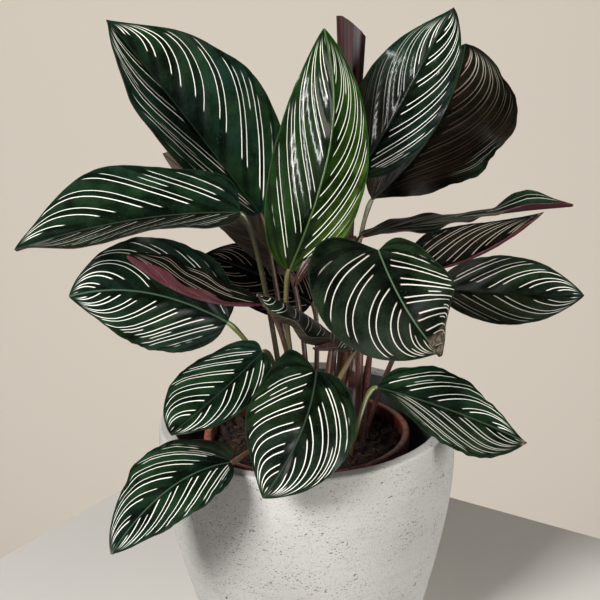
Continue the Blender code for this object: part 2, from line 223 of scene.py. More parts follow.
# One half of a blade, and one leaf with its stalk, as in the solids
Half = namedtuple("Half", "width fold curl widest shoulder point lobe",
                  defaults=(0, 0, 0.45, 0.5, 0.9, 0))
Leaf = namedtuple("Leaf", "name root via base mid tip face left right waves",
                  defaults=((0, 1, 0),))

LEAVES = (
    Leaf("upper_left", (-6, 14), (-14, 16, 225), (-27, 26, 297), (-80, 37, 370), (-123, 46, 426),
         (0.45, -0.8, 0.4), Half(43, 36, -10, point=1.15),
         Half(54, 20, -10, 0.36, point=1.2), (1.5, 3, 0)),
    Leaf("left", (-12, 4), (-22, -10, 250), (-38, -31, 314), (-107, -38, 313), (-181, -38, 296),
         (0, -0.36, 0.93), Half(36, 20, point=1.1),
         Half(40, 22, 0, 0.55, 0.3), (3, 1.5, 0.32)),
    Leaf("left_rear", (2, 8), (2, 12, 205), (-8, 19, 256), (-48, 46, 294), (-93, 64, 331),
         (-0.45, 0.75, 0.45), Half(34, 10), Half(15, 10)),
    Leaf("left_middle", (-12, -8), (-18, -18, 200), (-49, -35, 242), (-100, -41, 266),
         (-148, -45, 266), (-0.1, -0.85, 0.5), Half(36, 5, 10, 0.42, 0.4),
         Half(36, 5, 10, 0.42, 0.4), (1.5, 2, 0)),
    Leaf("left_folded", (-5, -6), (-4, -26, 200), (-25, -46, 258), (-69, -59, 270),
         (-107, -60, 297), (0.45, 0.1, 0.88), Half(6.5, 62, 10, 0.78, 1.8),
         Half(22, 38, 0, 0.6, 0.7, 0.6), (1.5, 3, 0)),
    Leaf("rear_dark", (6, 20), (8, 36, 185), (6, 48, 224), (-28, 52, 244), (-68, 58, 259),
         (-0.2, -0.9, 0.4), Half(24, 10, 10, 0.42, 0.4), Half(24, 10, 10, 0.42, 0.4)),
    Leaf("front_folded", (20, -8), (26, -8, 180), (31, -8, 210), (-1, -54, 255), (-28, -74, 274),
         (0.35, 0, 0.93), Half(26, -10, -10, 0.6, 0.8), Half(16, -60, 0, 0.35), (2, 3, 0)),
    Leaf("front", (0, -20), (2, -40, 200), (7, -72, 221), (-4, -110, 196), (-28, -126, 161),
         (0, -0.8, 0.6), Half(32, 0, -20, lobe=8), Half(36, 14, -20, lobe=60), (1, 2, 0)),
    Leaf("front_left", (-10, -18), (-14, -28, 195), (-27, -48, 226), (-53, -70, 209),
         (-85, -88, 188), (-0.3, -0.6, 0.7), Half(21, 0, -10),
         Half(34, 0, -10, 0.6, 0.5, 0.6, 30)),
    Leaf("heart", (38, -6), (45, -7, 225), (48, -49, 292), (63, -84, 264), (86, -70, 228),
         (0.1, -0.8, 0.6), Half(36, 5, -10, 0.5, 0.45, 0.4, 40),
         Half(52, 12, -10, 0.3, 0.45, 1.8, 45)),
    Leaf("right_middle", (40, 6), (58, 10, 200), (92, 14, 244), (143, 18, 237), (189, 8, 238),
         (0.1, -0.85, 0.5), Half(26, 5, 5), Half(22, 5, 5)),
    Leaf("right_upper", (10, -10), (16, -10, 230), (40, 1, 287), (110, 36, 288), (183, 25, 297),
         (0, 0.1, 1), Half(20), Half(20), (2, 1.85, 0.25)),
    Leaf("right_inner", (36, 16), (44, 8, 215), (66, 1, 261), (112, -2, 270), (158, -5, 301),
         (-0.4, -0.35, 0.85), Half(25, 50, 0, 0.32, 0.5, 1.1), Half(3.5, 60, 0, 0.8, 1.8)),
    Leaf("top_right", (14, 2), (24, -2, 250), (38, 8, 326), (73, 10, 379.5), (103, 34, 429),
         (0.2, -0.9, 0.3), Half(31, 10, -10, point=1.2), Half(26, 10, -10, 0.42, 0.5, 0.75)),
    Leaf("top_far", (18, 22), (30, 40, 225), (50, 55, 296), (95, 70, 342), (118, 95, 395),
         (0.2, -0.85, 0.35), Half(36, 10), Half(47, 10, 0, 0.62, 1.3, 0.6), (3, 3, 0)),
    Leaf("centre", (2, -4), (-16, -24, 230), (-8, -28, 274), (13, -28, 346), (18, -10, 425),
         (0.1, -0.95, 0.2), Half(32, 20, -14, 0.42), Half(31, 8)),
    Leaf("lower_left", (-14, -28), (-20, -55, 180), (-48, -92, 170), (-86, -116, 164),
         (-123, -122, 124), (-0.3, -0.5, 0.8), Half(24, 0, -10),
         Half(36, 0, -10, 0.42, 0.42, 0.65, 40)),
    Leaf("lower_right", (30, -20), (36, -30, 174), (48, -14, 185), (97, -45, 179), (141, -66, 165),
         (-0.1, -0.7, 0.7), Half(26, 0, -10, 0.3, 0.45, 1.5), Half(25, 6, -10, 0.68, 1.1)),
)

# How the stripes lie on half a leaf: pairs from base to tip, the angle in degrees at which they
# leave the midrib, the share of the half's width that stays bare beside it, their strength at
# the base and, where it differs, at the tip, and how they bend at the edge
Side = namedtuple("Side", "pairs angle bare ink tip_ink bend",
                  defaults=(0.12, 1.0, None, 0.5))
# A leaf's two sides, half the width of its stripes in mm, how pink they are, how far its edge
# waves in mm, the finishes of its upper and under face, and how pale its midrib is
Veins = namedtuple("Veins", "left right pen blush wobble finish back rib",
                   defaults=(0.36, 0.3, 0.7, "waxy", "brown", 0.3))
VEINS = {
    "upper_left": Veins(Side(4, 24, 0.05, 1.0), Side(7, 44, 0.22), 0.32, 0.2, rib=0.1),
    "left": Veins(Side(8, 42, 0.1, 0.4), Side(5, 27, 0.19, bend=0.1), 0.32, 0.05,
                  finish="satin", rib=0.2),
    "left_rear": Veins(Side(7, 35, 0.12, 0.7), Side(7, 35, 0.12, 0.7), finish="shaded",
                       back="grey", rib=1.0),
    "left_middle": Veins(Side(7, 42, 0.1), Side(6, 42, 0.14), 0.32, 0.12, 1.4, rib=0.55),
    "left_folded": Veins(Side(4, 20, 0.1, 0.7), Side(3, 12, 0.05, 0.9, bend=0.1), 0.24, 0,
                         finish="shaded", back="pink", rib=0.0),
    "rear_dark": Veins(Side(6, 40, 0.1, 0.9), Side(6, 40, 0.1, 0.9), 0.3, finish="shaded"),
    "front_folded": Veins(Side(8, 60, 0.1, 0.7), Side(8, 50, 0.1, 0.7), 0.36, 0.1,
                          finish="satin", back="grey"),
    "front": Veins(Side(4, 28, 0.08, 0.95, bend=0.4), Side(6, 50, 0.08, bend=0.5), 0.35, 0.15,
                   0.8, rib=0.25),
    "front_left": Veins(Side(4, 34, 0.15), Side(6, 50, 0.1), 0.3, 0.05, 1.0, rib=0.15),
    "heart": Veins(Side(6, 68, 0.08, 0.85, bend=1.5), Side(6, 56, 0.1, 0.8, bend=0.25), 0.43,
                   0.45, 0.9, "satin", rib=0.7),
    "right_middle": Veins(Side(5, 34, 0.16, 0.9), Side(4, 30, 0.1, 0.3, 0.7), 0.3, 0.35,
                          finish="satin", rib=0.0),
    "right_upper": Veins(Side(3, 20, 0.1, 0.15, 0.6), Side(3, 20, 0.1, 0.15, 0.6), 0.24, 0,
                         2.5, "satin", "pink", 0.0),
    "right_inner": Veins(Side(5, 26, 0.1, 1.0), Side(3, 22, 0.1, 0.8), 0.24, 0.1,
                         finish="shaded", back="pink", rib=0.0),
    "top_right": Veins(Side(6, 30, 0.06, 0.05, 1.0), Side(7, 30, 0.07), 0.25, 0,
                       finish="glossy", rib=0.1),
    "top_far": Veins(Side(7, 30, 0.05, 0.6), Side(8, 34, 0.05, 0.3, 0.65), 0.4, 1.0, 5.0,
                     "satin", rib=0.1),
    "centre": Veins(Side(5, 24, 0.06), Side(7, 28, 0.06, 0.95, 0.65), 0.25, 0.05, finish="fresh",
                    rib=0.3),
    "lower_left": Veins(Side(6, 34, 0.1, bend=0.4), Side(5, 34, 0.12, bend=0.4), 0.31, 0.15,
                        1.8, rib=0.45),
    "lower_right": Veins(Side(5, 34, 0.12), Side(5, 20, 0.05, 0.5), 0.29, 0.05, 2.2, "satin",
                         rib=0.25),
}

# How bronze and how darkened half a leaf is, from its own bronze tint and from painted shade on
# halves that lie in shadow: at its base, how fast that fades past a share of its length, and
# what stays at least
Bronze = namedtuple("Bronze", "base fade start least", defaults=(0, 0, 0))
BRONZED_AND_SHADED = {
    ("left", -1): Bronze(0.5), ("left_middle", -1): Bronze(0.15),
    ("left_folded", -1): Bronze(0.45), ("left_folded", 1): Bronze(0.4),
    ("front_folded", -1): Bronze(0.25), ("front_folded", 1): Bronze(0.25),
    ("heart", -1): Bronze(0.3), ("heart", 1): Bronze(0.35),
    ("front", -1): Bronze(0.2), ("front", 1): Bronze(0.25),
    ("right_inner", -1): Bronze(0.5), ("right_inner", 1): Bronze(0.5),
    ("rear_dark", -1): Bronze(0.3), ("rear_dark", 1): Bronze(0.3),
    ("lower_right", 1): Bronze(0.3),
    ("top_right", -1): Bronze(0.85, 2, 0.3), ("top_right", 1): Bronze(0.25),
    ("right_upper", -1): Bronze(0.8, 0.9, 0, 0.1), ("right_upper", 1): Bronze(0.8, 0.9, 0, 0.1),
    # right_middle is darkened towards its base as painted shadow of the heart leaf
    ("right_middle", -1): Bronze(0.75, 0.9), ("right_middle", 1): Bronze(0.75, 0.4),
    ("top_far", -1): Bronze(1, 1.1, 0.66), ("top_far", 1): Bronze(1, 1.1, 0.66),
}

# Withered tips, as a share of the leaf's length
DRY_TIPS = {"heart": 0.17, "lower_left": 0.03, "lower_right": 0.04, "right_inner": 0.08,
            "right_upper": 0.05}

# How far a midrib strays to the right of the middle, in mm, within the blade's outline
MIDRIB_DRIFT = {"centre": 6.0, "top_right": -2.0}
DRIFT_POWER = 1.7

# How many degrees half a leaf folds up towards its tip, over which part of its length
TIP_LIFT = {("right_upper", -1): 42, ("right_upper", 1): 32}
TIP_LIFT_FROM = 0.66
TIP_LIFT_LENGTH = 0.14

# Sheaths round the stems: middle line, the way the middle of the sheath looks, radius in mm,
# how far it wraps round the stem in degrees, and its skin
Sheath = namedtuple("Sheath", "name path face radius wrap skin")
SHEATHS = (
    Sheath("crown_sheath_outer", ((28, 4, 139), (29, 5, 190), (31, 7, 243)), (-0.7, -0.75, 0),
           7.6, 300, "red"),
    Sheath("crown_sheath_inner", ((28, 4, 139), (30, 4, 180), (34, 5, 226)), (0.8, -0.6, 0),
           8.4, 250, "crown"),
    Sheath("purple_sheath", ((17, -22, 291), (2, -27, 277), (-8, -27, 264)), (0.5, -0.7, -0.5),
           5.5, 200, "purple"),
    Sheath("withered_sheath", ((31, -6, 184), (33, -9, 190), (32, -11, 197)), (0, -1, 0),
           2.6, 200, "purple"),
    Sheath("folded_leaf_flap", ((33, -8, 219), (22, -15, 217), (4, -28, 222)), (0, -1, -0.25),
           5.0, 170, "flap"),
)
SHOOT_ROOT = (6, -14)
SHOOT_PATH = ((9, -14, 172), (28, -9, 200), (52, -5, 238))
SHOOT_RADIUS = 2.0
SHOOT_TIP = 0.12
SHOOT_TAPER = 6
SHOOT_RINGS = 36

# Bands of a leaf that are young, or bronze and darkened by painted shade, the ink of the stripes
# there, the fine painted glints and the withered tissue of a leaf, the flecks of a stalk, and
# peat: smeared on, and its lightest bits
YOUNG_GREEN = "#557029"
BRONZE_AND_SHADE = "#261c11"
BRONZE_AND_SHADE_INK = "#57483f"
PAINTED_LEAF_GLINT = "#5f7566"
WITHERED = ("#3a3327", "#8b7f70")
STALK_FLECK = "#8f785e"
PEAT_SMEAR = "#22150f"
PEAT_LIGHT = "#4e3728"

# The maps of a leaf's mesh, and what the two numbers of each map say at a point: the count of
# stripe pairs and the share q from midrib to edge; the mm between pairs and the share s from base
# to tip; the mm from midrib and from edge; how young, and how bronze and darkened by painted
# shade; the bare share and the ink of a stripe; its half width and blush; how withered, and how
# pale the midrib
LEAF_MAPS = ("vein", "size", "flat", "tint", "habit", "pen", "dry")
LeafMaps = namedtuple("LeafMaps", "count q pitch s from_rib from_edge young bronze bare ink "
                                  "pen blush dry rib")

# The settings that the word after a node's type may name, and the output of Texture Coordinate
# that is the place in the object
NODE_MODES = ("operation", "interpolation_type", "data_type")
IN_OBJECT = 3

# Skins of the stalks that aren't red, and the stalks whose solids are pale green
STALK_SKINS = {"centre": "straw", "left_middle": "pale", "lower_right": "pale",
               "top_far": "olive", "left": "olive", "front_left": "olive"}
PALE_STALKS = ("centre", "left_middle", "lower_right")


def linear(code):
    """An sRGB hex colour as linear values, with full alpha."""
    parts = [int(code[i:i + 2], 16) / 255 for i in (1, 3, 5)]
    return (*(c / 12.92 if c <= 0.04045 else ((c + 0.055) / 1.055) ** 2.4 for c in parts), 1.0)


def add(tree, kind, *inputs, out=0, stops=(), **named):
    """Adds a node and gives back the output asked for, counting the sockets that it shows.

    kind is the node's type, with its mode after a space. inputs fill its sockets in order, a
    name with a capital letter is a socket too, and any other name is a setting of the node. A
    colour is a hex code.
    """
    kind, _, mode = kind.partition(" ")
    made = tree.nodes.new("ShaderNode" + kind)
    if mode:
        setattr(made, next(name for name in NODE_MODES if hasattr(made, name)), mode)
    for name, value in named.items():
        if not name[0].isupper():
            setattr(made, name, value)
    wires = list(zip((socket for socket in made.inputs if socket.enabled), inputs))
    wires += [(made.inputs[name.replace("_", " ")], value)
              for name, value in named.items() if name[0].isupper()]
    for socket, value in wires:
        if isinstance(value, bpy.types.NodeSocket):
            tree.links.new(value, socket)
        else:
            socket.default_value = linear(value) if isinstance(value, str) else value
    for i, (place, code) in enumerate(stops):
        ramp = made.color_ramp.elements
        element = ramp[i] if i < len(ramp) else ramp.new(place)
        element.position = place
        element.color = linear(code)
    return [socket for socket in made.outputs if socket.enabled][out]


def start_finish(name):
    """A new material without nodes, and the function that adds its nodes."""
    made = bpy.data.materials.new(name)
    made.use_nodes = True
    made.node_tree.nodes.clear()
    return made, partial(add, made.node_tree)


def close_finish(made, n, **look):
    """Ends a finish with its shader, whose sockets the look gives."""
    output = made.node_tree.nodes.new("ShaderNodeOutputMaterial")
    made.node_tree.links.new(n("BsdfPrincipled", **look), output.inputs["Surface"])
    return made


def read_map(n, name):
    """The two numbers that the mesh's map of this name holds at a point."""
    return n("SeparateXYZ", n("UVMap", uv_map=name), out=slice(2))


def grains(size):
    """The scale of a pattern whose grains are so many mm apart."""
    return 1 / (size * MM)


def streaks(n, across, across_scale, along, along_scale, detail):
    """Noise that runs along a surface: scales count the grains over each of its maps."""
    place = n("CombineXYZ", n("Math MULTIPLY", across, across_scale),
              n("Math MULTIPLY", along, along_scale))
    return n("TexNoise", place, 1.0, detail)


def luck_of(n, number, shift):
    """Three random numbers from 0 to 1 that stay the same for a whole number."""
    noise_colour = n("TexWhiteNoise", n("Math ADD", number, shift), out=1,
                     noise_dimensions="1D")
    return n("SeparateColor", noise_colour, out=slice(3))


def bezier(points, t):
    """A point of the Bezier curve with any number of control points."""
    points = [Vector(p) for p in points]
    while len(points) > 1:
        points = [a.lerp(b, t) for a, b in zip(points, points[1:])]
    return points[0]


def midrib(leaf, s):
    """Point and direction of the midrib, which runs through the leaf's base, mid and tip."""
    base, mid, tip = Vector(leaf.base), Vector(leaf.mid), Vector(leaf.tip)
    handle = 2 * mid - (base + tip) / 2
    along = (handle - base).lerp(tip - handle, s)
    return bezier((base, handle, tip), s), along.normalized()


def upward(leaf, along):
    """The way the upper face looks where the midrib runs along the given direction."""
    face = Vector(leaf.face)
    return (face - along * face.dot(along)).normalized()


def breadth(half, s):
    """Share of its full width that a half blade has at s, 0 at the base and 1 at the tip."""
    if s < half.widest:
        return max(0, 1 - (1 - s / half.widest) ** 2) ** half.shoulder
    past = (s - half.widest) / (1 - half.widest)
    return max(0, 1 - past * past) ** half.point


def half_of(leaf, hand):
    """One half of a blade. hand is -1 for the left half and 1 for the right one."""
    return leaf.right if hand > 0 else leaf.left


def side_of(leaf, hand):
    """How the stripes of that half lie."""
    return VEINS[leaf.name].right if hand > 0 else VEINS[leaf.name].left


def limited(value):
    return min(1, max(0, value))


def blade_point(leaf, s, q, hand):
    """Point of the upper face: s runs from base to tip, q from the midrib to the edge."""
    point, along = midrib(leaf, s)
    up = upward(leaf, along)
    side = along.cross(up)
    half = half_of(leaf, hand)
    share = breadth(half, s)
    lift = TIP_LIFT.get((leaf.name, hand), 0) * limited((s - TIP_LIFT_FROM) / TIP_LIFT_LENGTH)
    fold = math.radians(half.fold + lift)
    curl = math.radians(half.curl)
    if half.curl:
        across = (math.sin(fold + curl * q) - math.sin(fold)) / curl
        rise = (math.cos(fold) - math.cos(fold + curl * q)) / curl
    else:
        across, rise = q * math.cos(fold), q * math.sin(fold)
    drift = MIDRIB_DRIFT.get(leaf.name, 0) * math.sin(math.pi * s ** DRIFT_POWER)
    point += side * drift + (side * hand * across + up * rise) * (half.width * share - hand * drift)
    height, count, phase = leaf.waves
    wave = math.sin(math.tau * (count * s + hand * phase))
    point += up * height * q * q * wave * min(1, 2 * share)
    if s < LOBE_REACH:
        point -= along * half.lobe * q ** 3 * (1 - s / LOBE_REACH) ** 3 * share
    return point


def row_place(share):
    """Rows of a blade lie closer together towards its base and its tip."""
    return (share + 0.5 - 0.5 * math.cos(math.pi * share)) / 2


def vein_sweep(leaf, hand):
    """How far along the leaf a side vein has run when it reaches the edge, as a share."""
    half = half_of(leaf, hand)
    angle = math.radians(side_of(leaf, hand).angle)
    length = sum((Vector(a) - Vector(b)).length
                 for a, b in ((leaf.base, leaf.mid), (leaf.mid, leaf.tip)))
    return half.width / length / math.tan(angle)


def vein_reading(leaf, number, s, q, hand, lean):
    """Count of stripe pairs up to a point, the distance between pairs there, the normal, and
    where along the midrib the point's vein starts."""
    pairs, bend = side_of(leaf, hand).pairs, side_of(leaf, hand).bend
    count = (s - lean * (q + bend * q ** 3)) * pairs
    low, high = max(0.0, s - SURFACE_STEP), min(1.0, s + SURFACE_STEP)
    along = (blade_point(leaf, high, q, hand) - blade_point(leaf, low, q, hand)) / (high - low)
    near, far = max(0.0, q - SURFACE_STEP), min(1.0, q + SURFACE_STEP)
    across = (blade_point(leaf, s, far, hand) - blade_point(leaf, s, near, hand)) / (far - near)
    by_s = pairs
    by_q = -lean * (1 + 3 * bend * q * q) * pairs
    aa, bb, ab = along.dot(along), across.dot(across), along.dot(across)
    spread = aa * bb - ab * ab
    start = count / pairs
    count += LEAF_COUNTS * number + HALF_COUNTS * (hand > 0)
    if spread < FLAT_SPREAD:
        return count, LEAST_PITCH, None, start
    steep = (bb * by_s * by_s - 2 * ab * by_s * by_q + aa * by_q * by_q) / spread
    normal = along.cross(across) * -hand
    return count, min(MOST_PITCH, 1 / math.sqrt(steep)), normal.normalized(), start


def edge_wobble(leaf, s, q, hand):
    """How far out the blade reaches at a point, as a share: its edge waves in and out."""
    half = half_of(leaf, hand)
    place = Vector((s * EDGE_WAVES, hand * 5.3, leaf.base[0] + leaf.tip[2]))
    wander = noise.noise(place) + 0.5 * noise.noise(place * 3)
    return 1 + VEINS[leaf.name].wobble / half.width * wander * q ** EDGE_WAVE_POWER


def relief(leaf, s, q, hand, count, pitch):
    """How far the upper face stands above its smooth sheet, in mm."""
    half = half_of(leaf, hand)
    share = breadth(half, s)
    flat = min(1, q * 6) * min(1, (1 - q) * 8) * min(1, share * 2)
    quilt = -math.cos(math.tau * count) * min(QUILT, QUILT_SHARE * pitch) * flat
    gap = q * half.width * share / RIB_GROOVE_WIDTH
    groove = -RIB_GROOVE * math.exp(-gap * gap) * min(1, 3 * share)
    place = Vector((s * RIPPLE_WAVES, hand * 3.1, len(leaf.name) + leaf.base[0]))
    wave = MARGIN_RIPPLE * VEINS[leaf.name].wobble * noise.noise(place)
    ripple = wave * q ** 4 * min(1, 2 * share)
    return quilt + groove + ripple


def leaf_tint(leaf, s, q, hand):
    """How young and yellow, and how bronze and darkened by painted shade, the upper face is at a
    point, from 0 to 1.
    """
    shade = BRONZED_AND_SHADED.get((leaf.name, hand), Bronze(0))
    bronze = max(shade.least, shade.base - shade.fade * max(0, s - shade.start))
    young = 0.0
    if leaf.name == "centre" and hand > 0:
        young = (1 - s) ** 1.3 * (0.2 + 0.8 * q)
    elif leaf.name == "centre":
        young = max(0, 0.16 - s) * 3
    elif leaf.name == "front":
        young = max(0, s - 0.86) * 3
    elif leaf.name == "top_far" and hand > 0:
        green_patch = min(0.9, max(0, q - 0.72) * 6)
        bronze -= green_patch * max(0, 1 - ((s - 0.47) / 0.14) ** 2)
    return young, bronze


def dryness(leaf, s, q):
    """How dried and brown the blade is at a point: some tips have withered."""
    reach = DRY_TIPS.get(leaf.name, 0)
    if not reach:
        return 0.0
    return limited((s - 1 + reach * (1.3 - 0.6 * q)) / reach * 1.6)


def stripe_habit(leaf, start, hand, lean):
    """The bare share of the half's width where a stripe starts, and the stripe's strength.

    start is where along the midrib the stripe's vein leaves it, below 0 for a vein that leaves
    the base itself, whose stripe starts further out.
    """
    side = side_of(leaf, hand)
    half = half_of(leaf, hand)
    first = -lean * (LOBE_STRIPES if half.lobe else BASE_STRIPES)
    bare = max(side.bare + BASE_BARE * max(0, 1 - start / BASE_BARE_REACH),
               BASE_BARE - start / lean)
    tip_ink = side.ink if side.tip_ink is None else side.tip_ink
    ink = side.ink + (tip_ink - side.ink) * limited(start * 1.4)
    return min(MOST_BARE, bare), ink * limited((start - first) * 30)


def put_in(name, data):
    """A new object of a mesh, a light or a camera, in the scene."""
    obj = bpy.data.objects.new(name, data)
    bpy.context.scene.collection.objects.link(obj)
    return obj


def new_object(name, bm, *finishes):
    mesh = bpy.data.meshes.new(name)
    bm.to_mesh(mesh)
    bm.free()
    mesh.shade_smooth()
    for finish in finishes:
        mesh.materials.append(finish)
    return put_in(name, mesh)


def sheet(across, along):
    """A flat sheet to be bent, with a map of how far a point lies across and along it."""
    bm = bmesh.new()
    way = bm.loops.layers.uv.new("way")
    bmesh.ops.create_grid(bm, x_segments=across, y_segments=along, size=0.5)
    for face in bm.faces:
        for loop in face.loops:
            loop[way].uv = (loop.vert.co.x + 0.5, loop.vert.co.y + 0.5)
    return bm


def weld(bm):
    bmesh.ops.remove_doubles(bm, verts=bm.verts, dist=WELD * MM)


def close_ends(bm):
    """Fills the open ends of a shell, with all faces then pointing outwards."""
    bmesh.ops.holes_fill(bm, edges=[e for e in bm.edges if e.is_boundary])
    bmesh.ops.recalc_face_normals(bm, faces=bm.faces)


def thicken(obj, thickness):
    """A wall behind the sheet, in mm, as a modifier that settle then makes its mesh."""
    solidify = obj.modifiers.new("thickness", "SOLIDIFY")
    solidify.thickness = thickness * MM
    solidify.offset = -1
    return solidify


def settle(obj, sharp=None):
    """Makes the modifiers' result the object's mesh, with hard edges above an angle."""
    graph = bpy.context.evaluated_depsgraph_get()
    mesh = bpy.data.meshes.new_from_object(obj.evaluated_get(graph))
    obj.modifiers.clear()
    obj.data = mesh
    if sharp:
        mesh.set_sharp_from_angle(angle=math.radians(sharp))
    return obj


def stand_for(obj, slot, *nodes):
    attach(obj, "root")
    if nodes:
        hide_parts(*nodes)


def leaf_blade(leaf, number, upper, under):
    """A quilted sheet over the leaf's solid, with the maps that its finish reads."""
    bm = bmesh.new()
    keel = bm.verts.layers.deform.verify()
    maps = [bm.loops.layers.uv.new(name) for name in LEAF_MAPS]
    veins = VEINS[leaf.name]
    bmesh.ops.create_grid(bm, x_segments=BLADE_CELLS, y_segments=BLADE_ROWS, size=0.5)
    lean = {hand: vein_sweep(leaf, hand) for hand in (-1, 1)}
    place = {}
    for vert in bm.verts:
        q = min(1, abs(2 * vert.co.x)) ** CELL_CROWDING
        place[vert.index] = (row_place(limited(vert.co.y + 0.5)), q)
    readings = {}
    for face in bm.faces:
        hand = 1 if face.calc_center_median().x > 0 else -1
        half = half_of(leaf, hand)
        for loop in face.loops:
            s, q = place[loop.vert.index]
            key = (loop.vert.index, hand)
            if key not in readings:
                readings[key] = vein_reading(leaf, number, s, q, hand, lean[hand])
            count, pitch, _, start = readings[key]
            reach = half.width * breadth(half, s)
            pairs = ((count, q), (pitch, s), (q * reach, (1 - q) * reach),
                     leaf_tint(leaf, s, q, hand), stripe_habit(leaf, start, hand, lean[hand]),
                     (veins.pen, veins.blush), (dryness(leaf, s, q), veins.rib))
            for map_of, pair in zip(maps, pairs):
                loop[map_of].uv = pair
    for vert in bm.verts:
        s, q = place[vert.index]
        hand = 1 if vert.co.x > 0 else -1
        count, pitch, normal, _ = readings.get((vert.index, hand)) or readings[(vert.index, -hand)]
        point = blade_point(leaf, s, q * edge_wobble(leaf, s, q, hand), hand)
        if normal:
            point += normal * relief(leaf, s, q, hand, count, pitch)
        vert[keel][0] = 1.0 if q < 1e-6 else BLADE_THICKNESS / MIDRIB_THICKNESS
        vert.co = point * MM
    weld(bm)
    obj = new_object(f"{leaf.name}_leaf", bm, upper, under)
    obj.vertex_groups.new(name="keel")
    solidify = thicken(obj, MIDRIB_THICKNESS)
    solidify.vertex_group = "keel"
    solidify.material_offset = 1
    solidify.material_offset_rim = 1
    settle(obj, 50)
    stand_for(obj, "blade_fresh_green" if leaf.name == "centre" else "blade_green",
              f"{leaf.name}_blade")


def drawn_line(n, maps, away, half, begin, finish):
    """A line of a half width, away from its middle in mm, between two shares of q."""
    soft = n("Math MINIMUM", n("Math MULTIPLY", maps.pitch, 0.03), 0.16)
    wide = n("MapRange", maps.q, begin, 1.0, half, n("Math MULTIPLY", half, 0.5))
    wide = n("Math MINIMUM", wide, n("Math MULTIPLY", maps.pitch, 0.07))
    band = n("MapRange SMOOTHSTEP", away, n("Math SUBTRACT", wide, soft),
             n("Math ADD", wide, soft), 1.0, 0.0)
    on = n("MapRange SMOOTHSTEP", maps.q, begin, n("Math ADD", begin, 0.03))
    off = n("MapRange SMOOTHSTEP", maps.q, n("Math SUBTRACT", finish, 0.04), finish, 1.0, 0.0)
    return n("Math MULTIPLY", band, n("Math MULTIPLY", on, off))


def pin_stripes(n, maps):
    """The pairs of pinstripes with a few stray ones, where each begins, and the tone between."""
    pair = n("Math FLOOR", maps.count)
    aside = n("Math SUBTRACT", n("Math FRACT", maps.count), 0.5)
    off = n("Math ABSOLUTE", aside)
    line = n("Math MULTIPLY_ADD", pair, 2.0, n("Math GREATER_THAN", aside, 0.0))
    luck, pair_luck = luck_of(n, line, 0.0), luck_of(n, pair, 0.31)
    wander = n("TexNoise", n("CombineXYZ", line, n("Math MULTIPLY", maps.q, 3.0)), 1.0, 1.0)
    spread = n("MapRange", pair_luck[0], 0.0, 1.0, 0.13, 0.2)
    spread = n("Math MULTIPLY_ADD", n("Math SUBTRACT", wander, 0.5), 0.09, spread)
    away = n("Math MULTIPLY", n("Math ABSOLUTE", n("Math SUBTRACT", off, spread)), maps.pitch)
    begin = n("Math ADD", n("MapRange", luck[0], 0.0, 1.0, -0.05, 0.1), maps.bare)
    half = n("Math MULTIPLY", maps.pen, n("MapRange", luck[2], 0.0, 1.0, 0.75, 1.1))
    finish = n("MapRange", luck[1], 0.0, 1.0, 0.84, 0.98)
    stripe = drawn_line(n, maps, away, half, begin, finish)

    nearest = n("Math ROUND", maps.count)
    luck = luck_of(n, nearest, 0.77)
    away = n("Math SUBTRACT", n("Math SUBTRACT", maps.count, nearest),
             n("MapRange", luck[0], 0.0, 1.0, -0.12, 0.12))
    away = n("Math MULTIPLY", n("Math ABSOLUTE", away), maps.pitch)
    start = n("MapRange", luck[1], 0.0, 1.0, 0.42, 0.72)
    stray = drawn_line(n, maps, away, n("Math MULTIPLY", maps.pen, 0.7), start,
                       n("Math ADD", start, 0.22))
    stray = n("Math MULTIPLY", stray, n("Math GREATER_THAN", luck[2], 0.74))

    ink = n("Math MULTIPLY", n("MapRange", maps.s, 0.93, 0.985, 1.0, 0.0), maps.ink)
    ink = n("Math MULTIPLY", ink, n("MapRange", maps.pitch, 1.2, 3.6))
    ink = n("Math MULTIPLY", ink, n("MapRange", maps.from_edge, 0.5, 1.4))
    between = n("MapRange SMOOTHSTEP", off, n("Math MULTIPLY", spread, 0.8),
                n("Math MULTIPLY", spread, 1.5), 0.4, 1.0)
    return n("Math MULTIPLY", n("Math MAXIMUM", stripe, stray), ink), begin, between


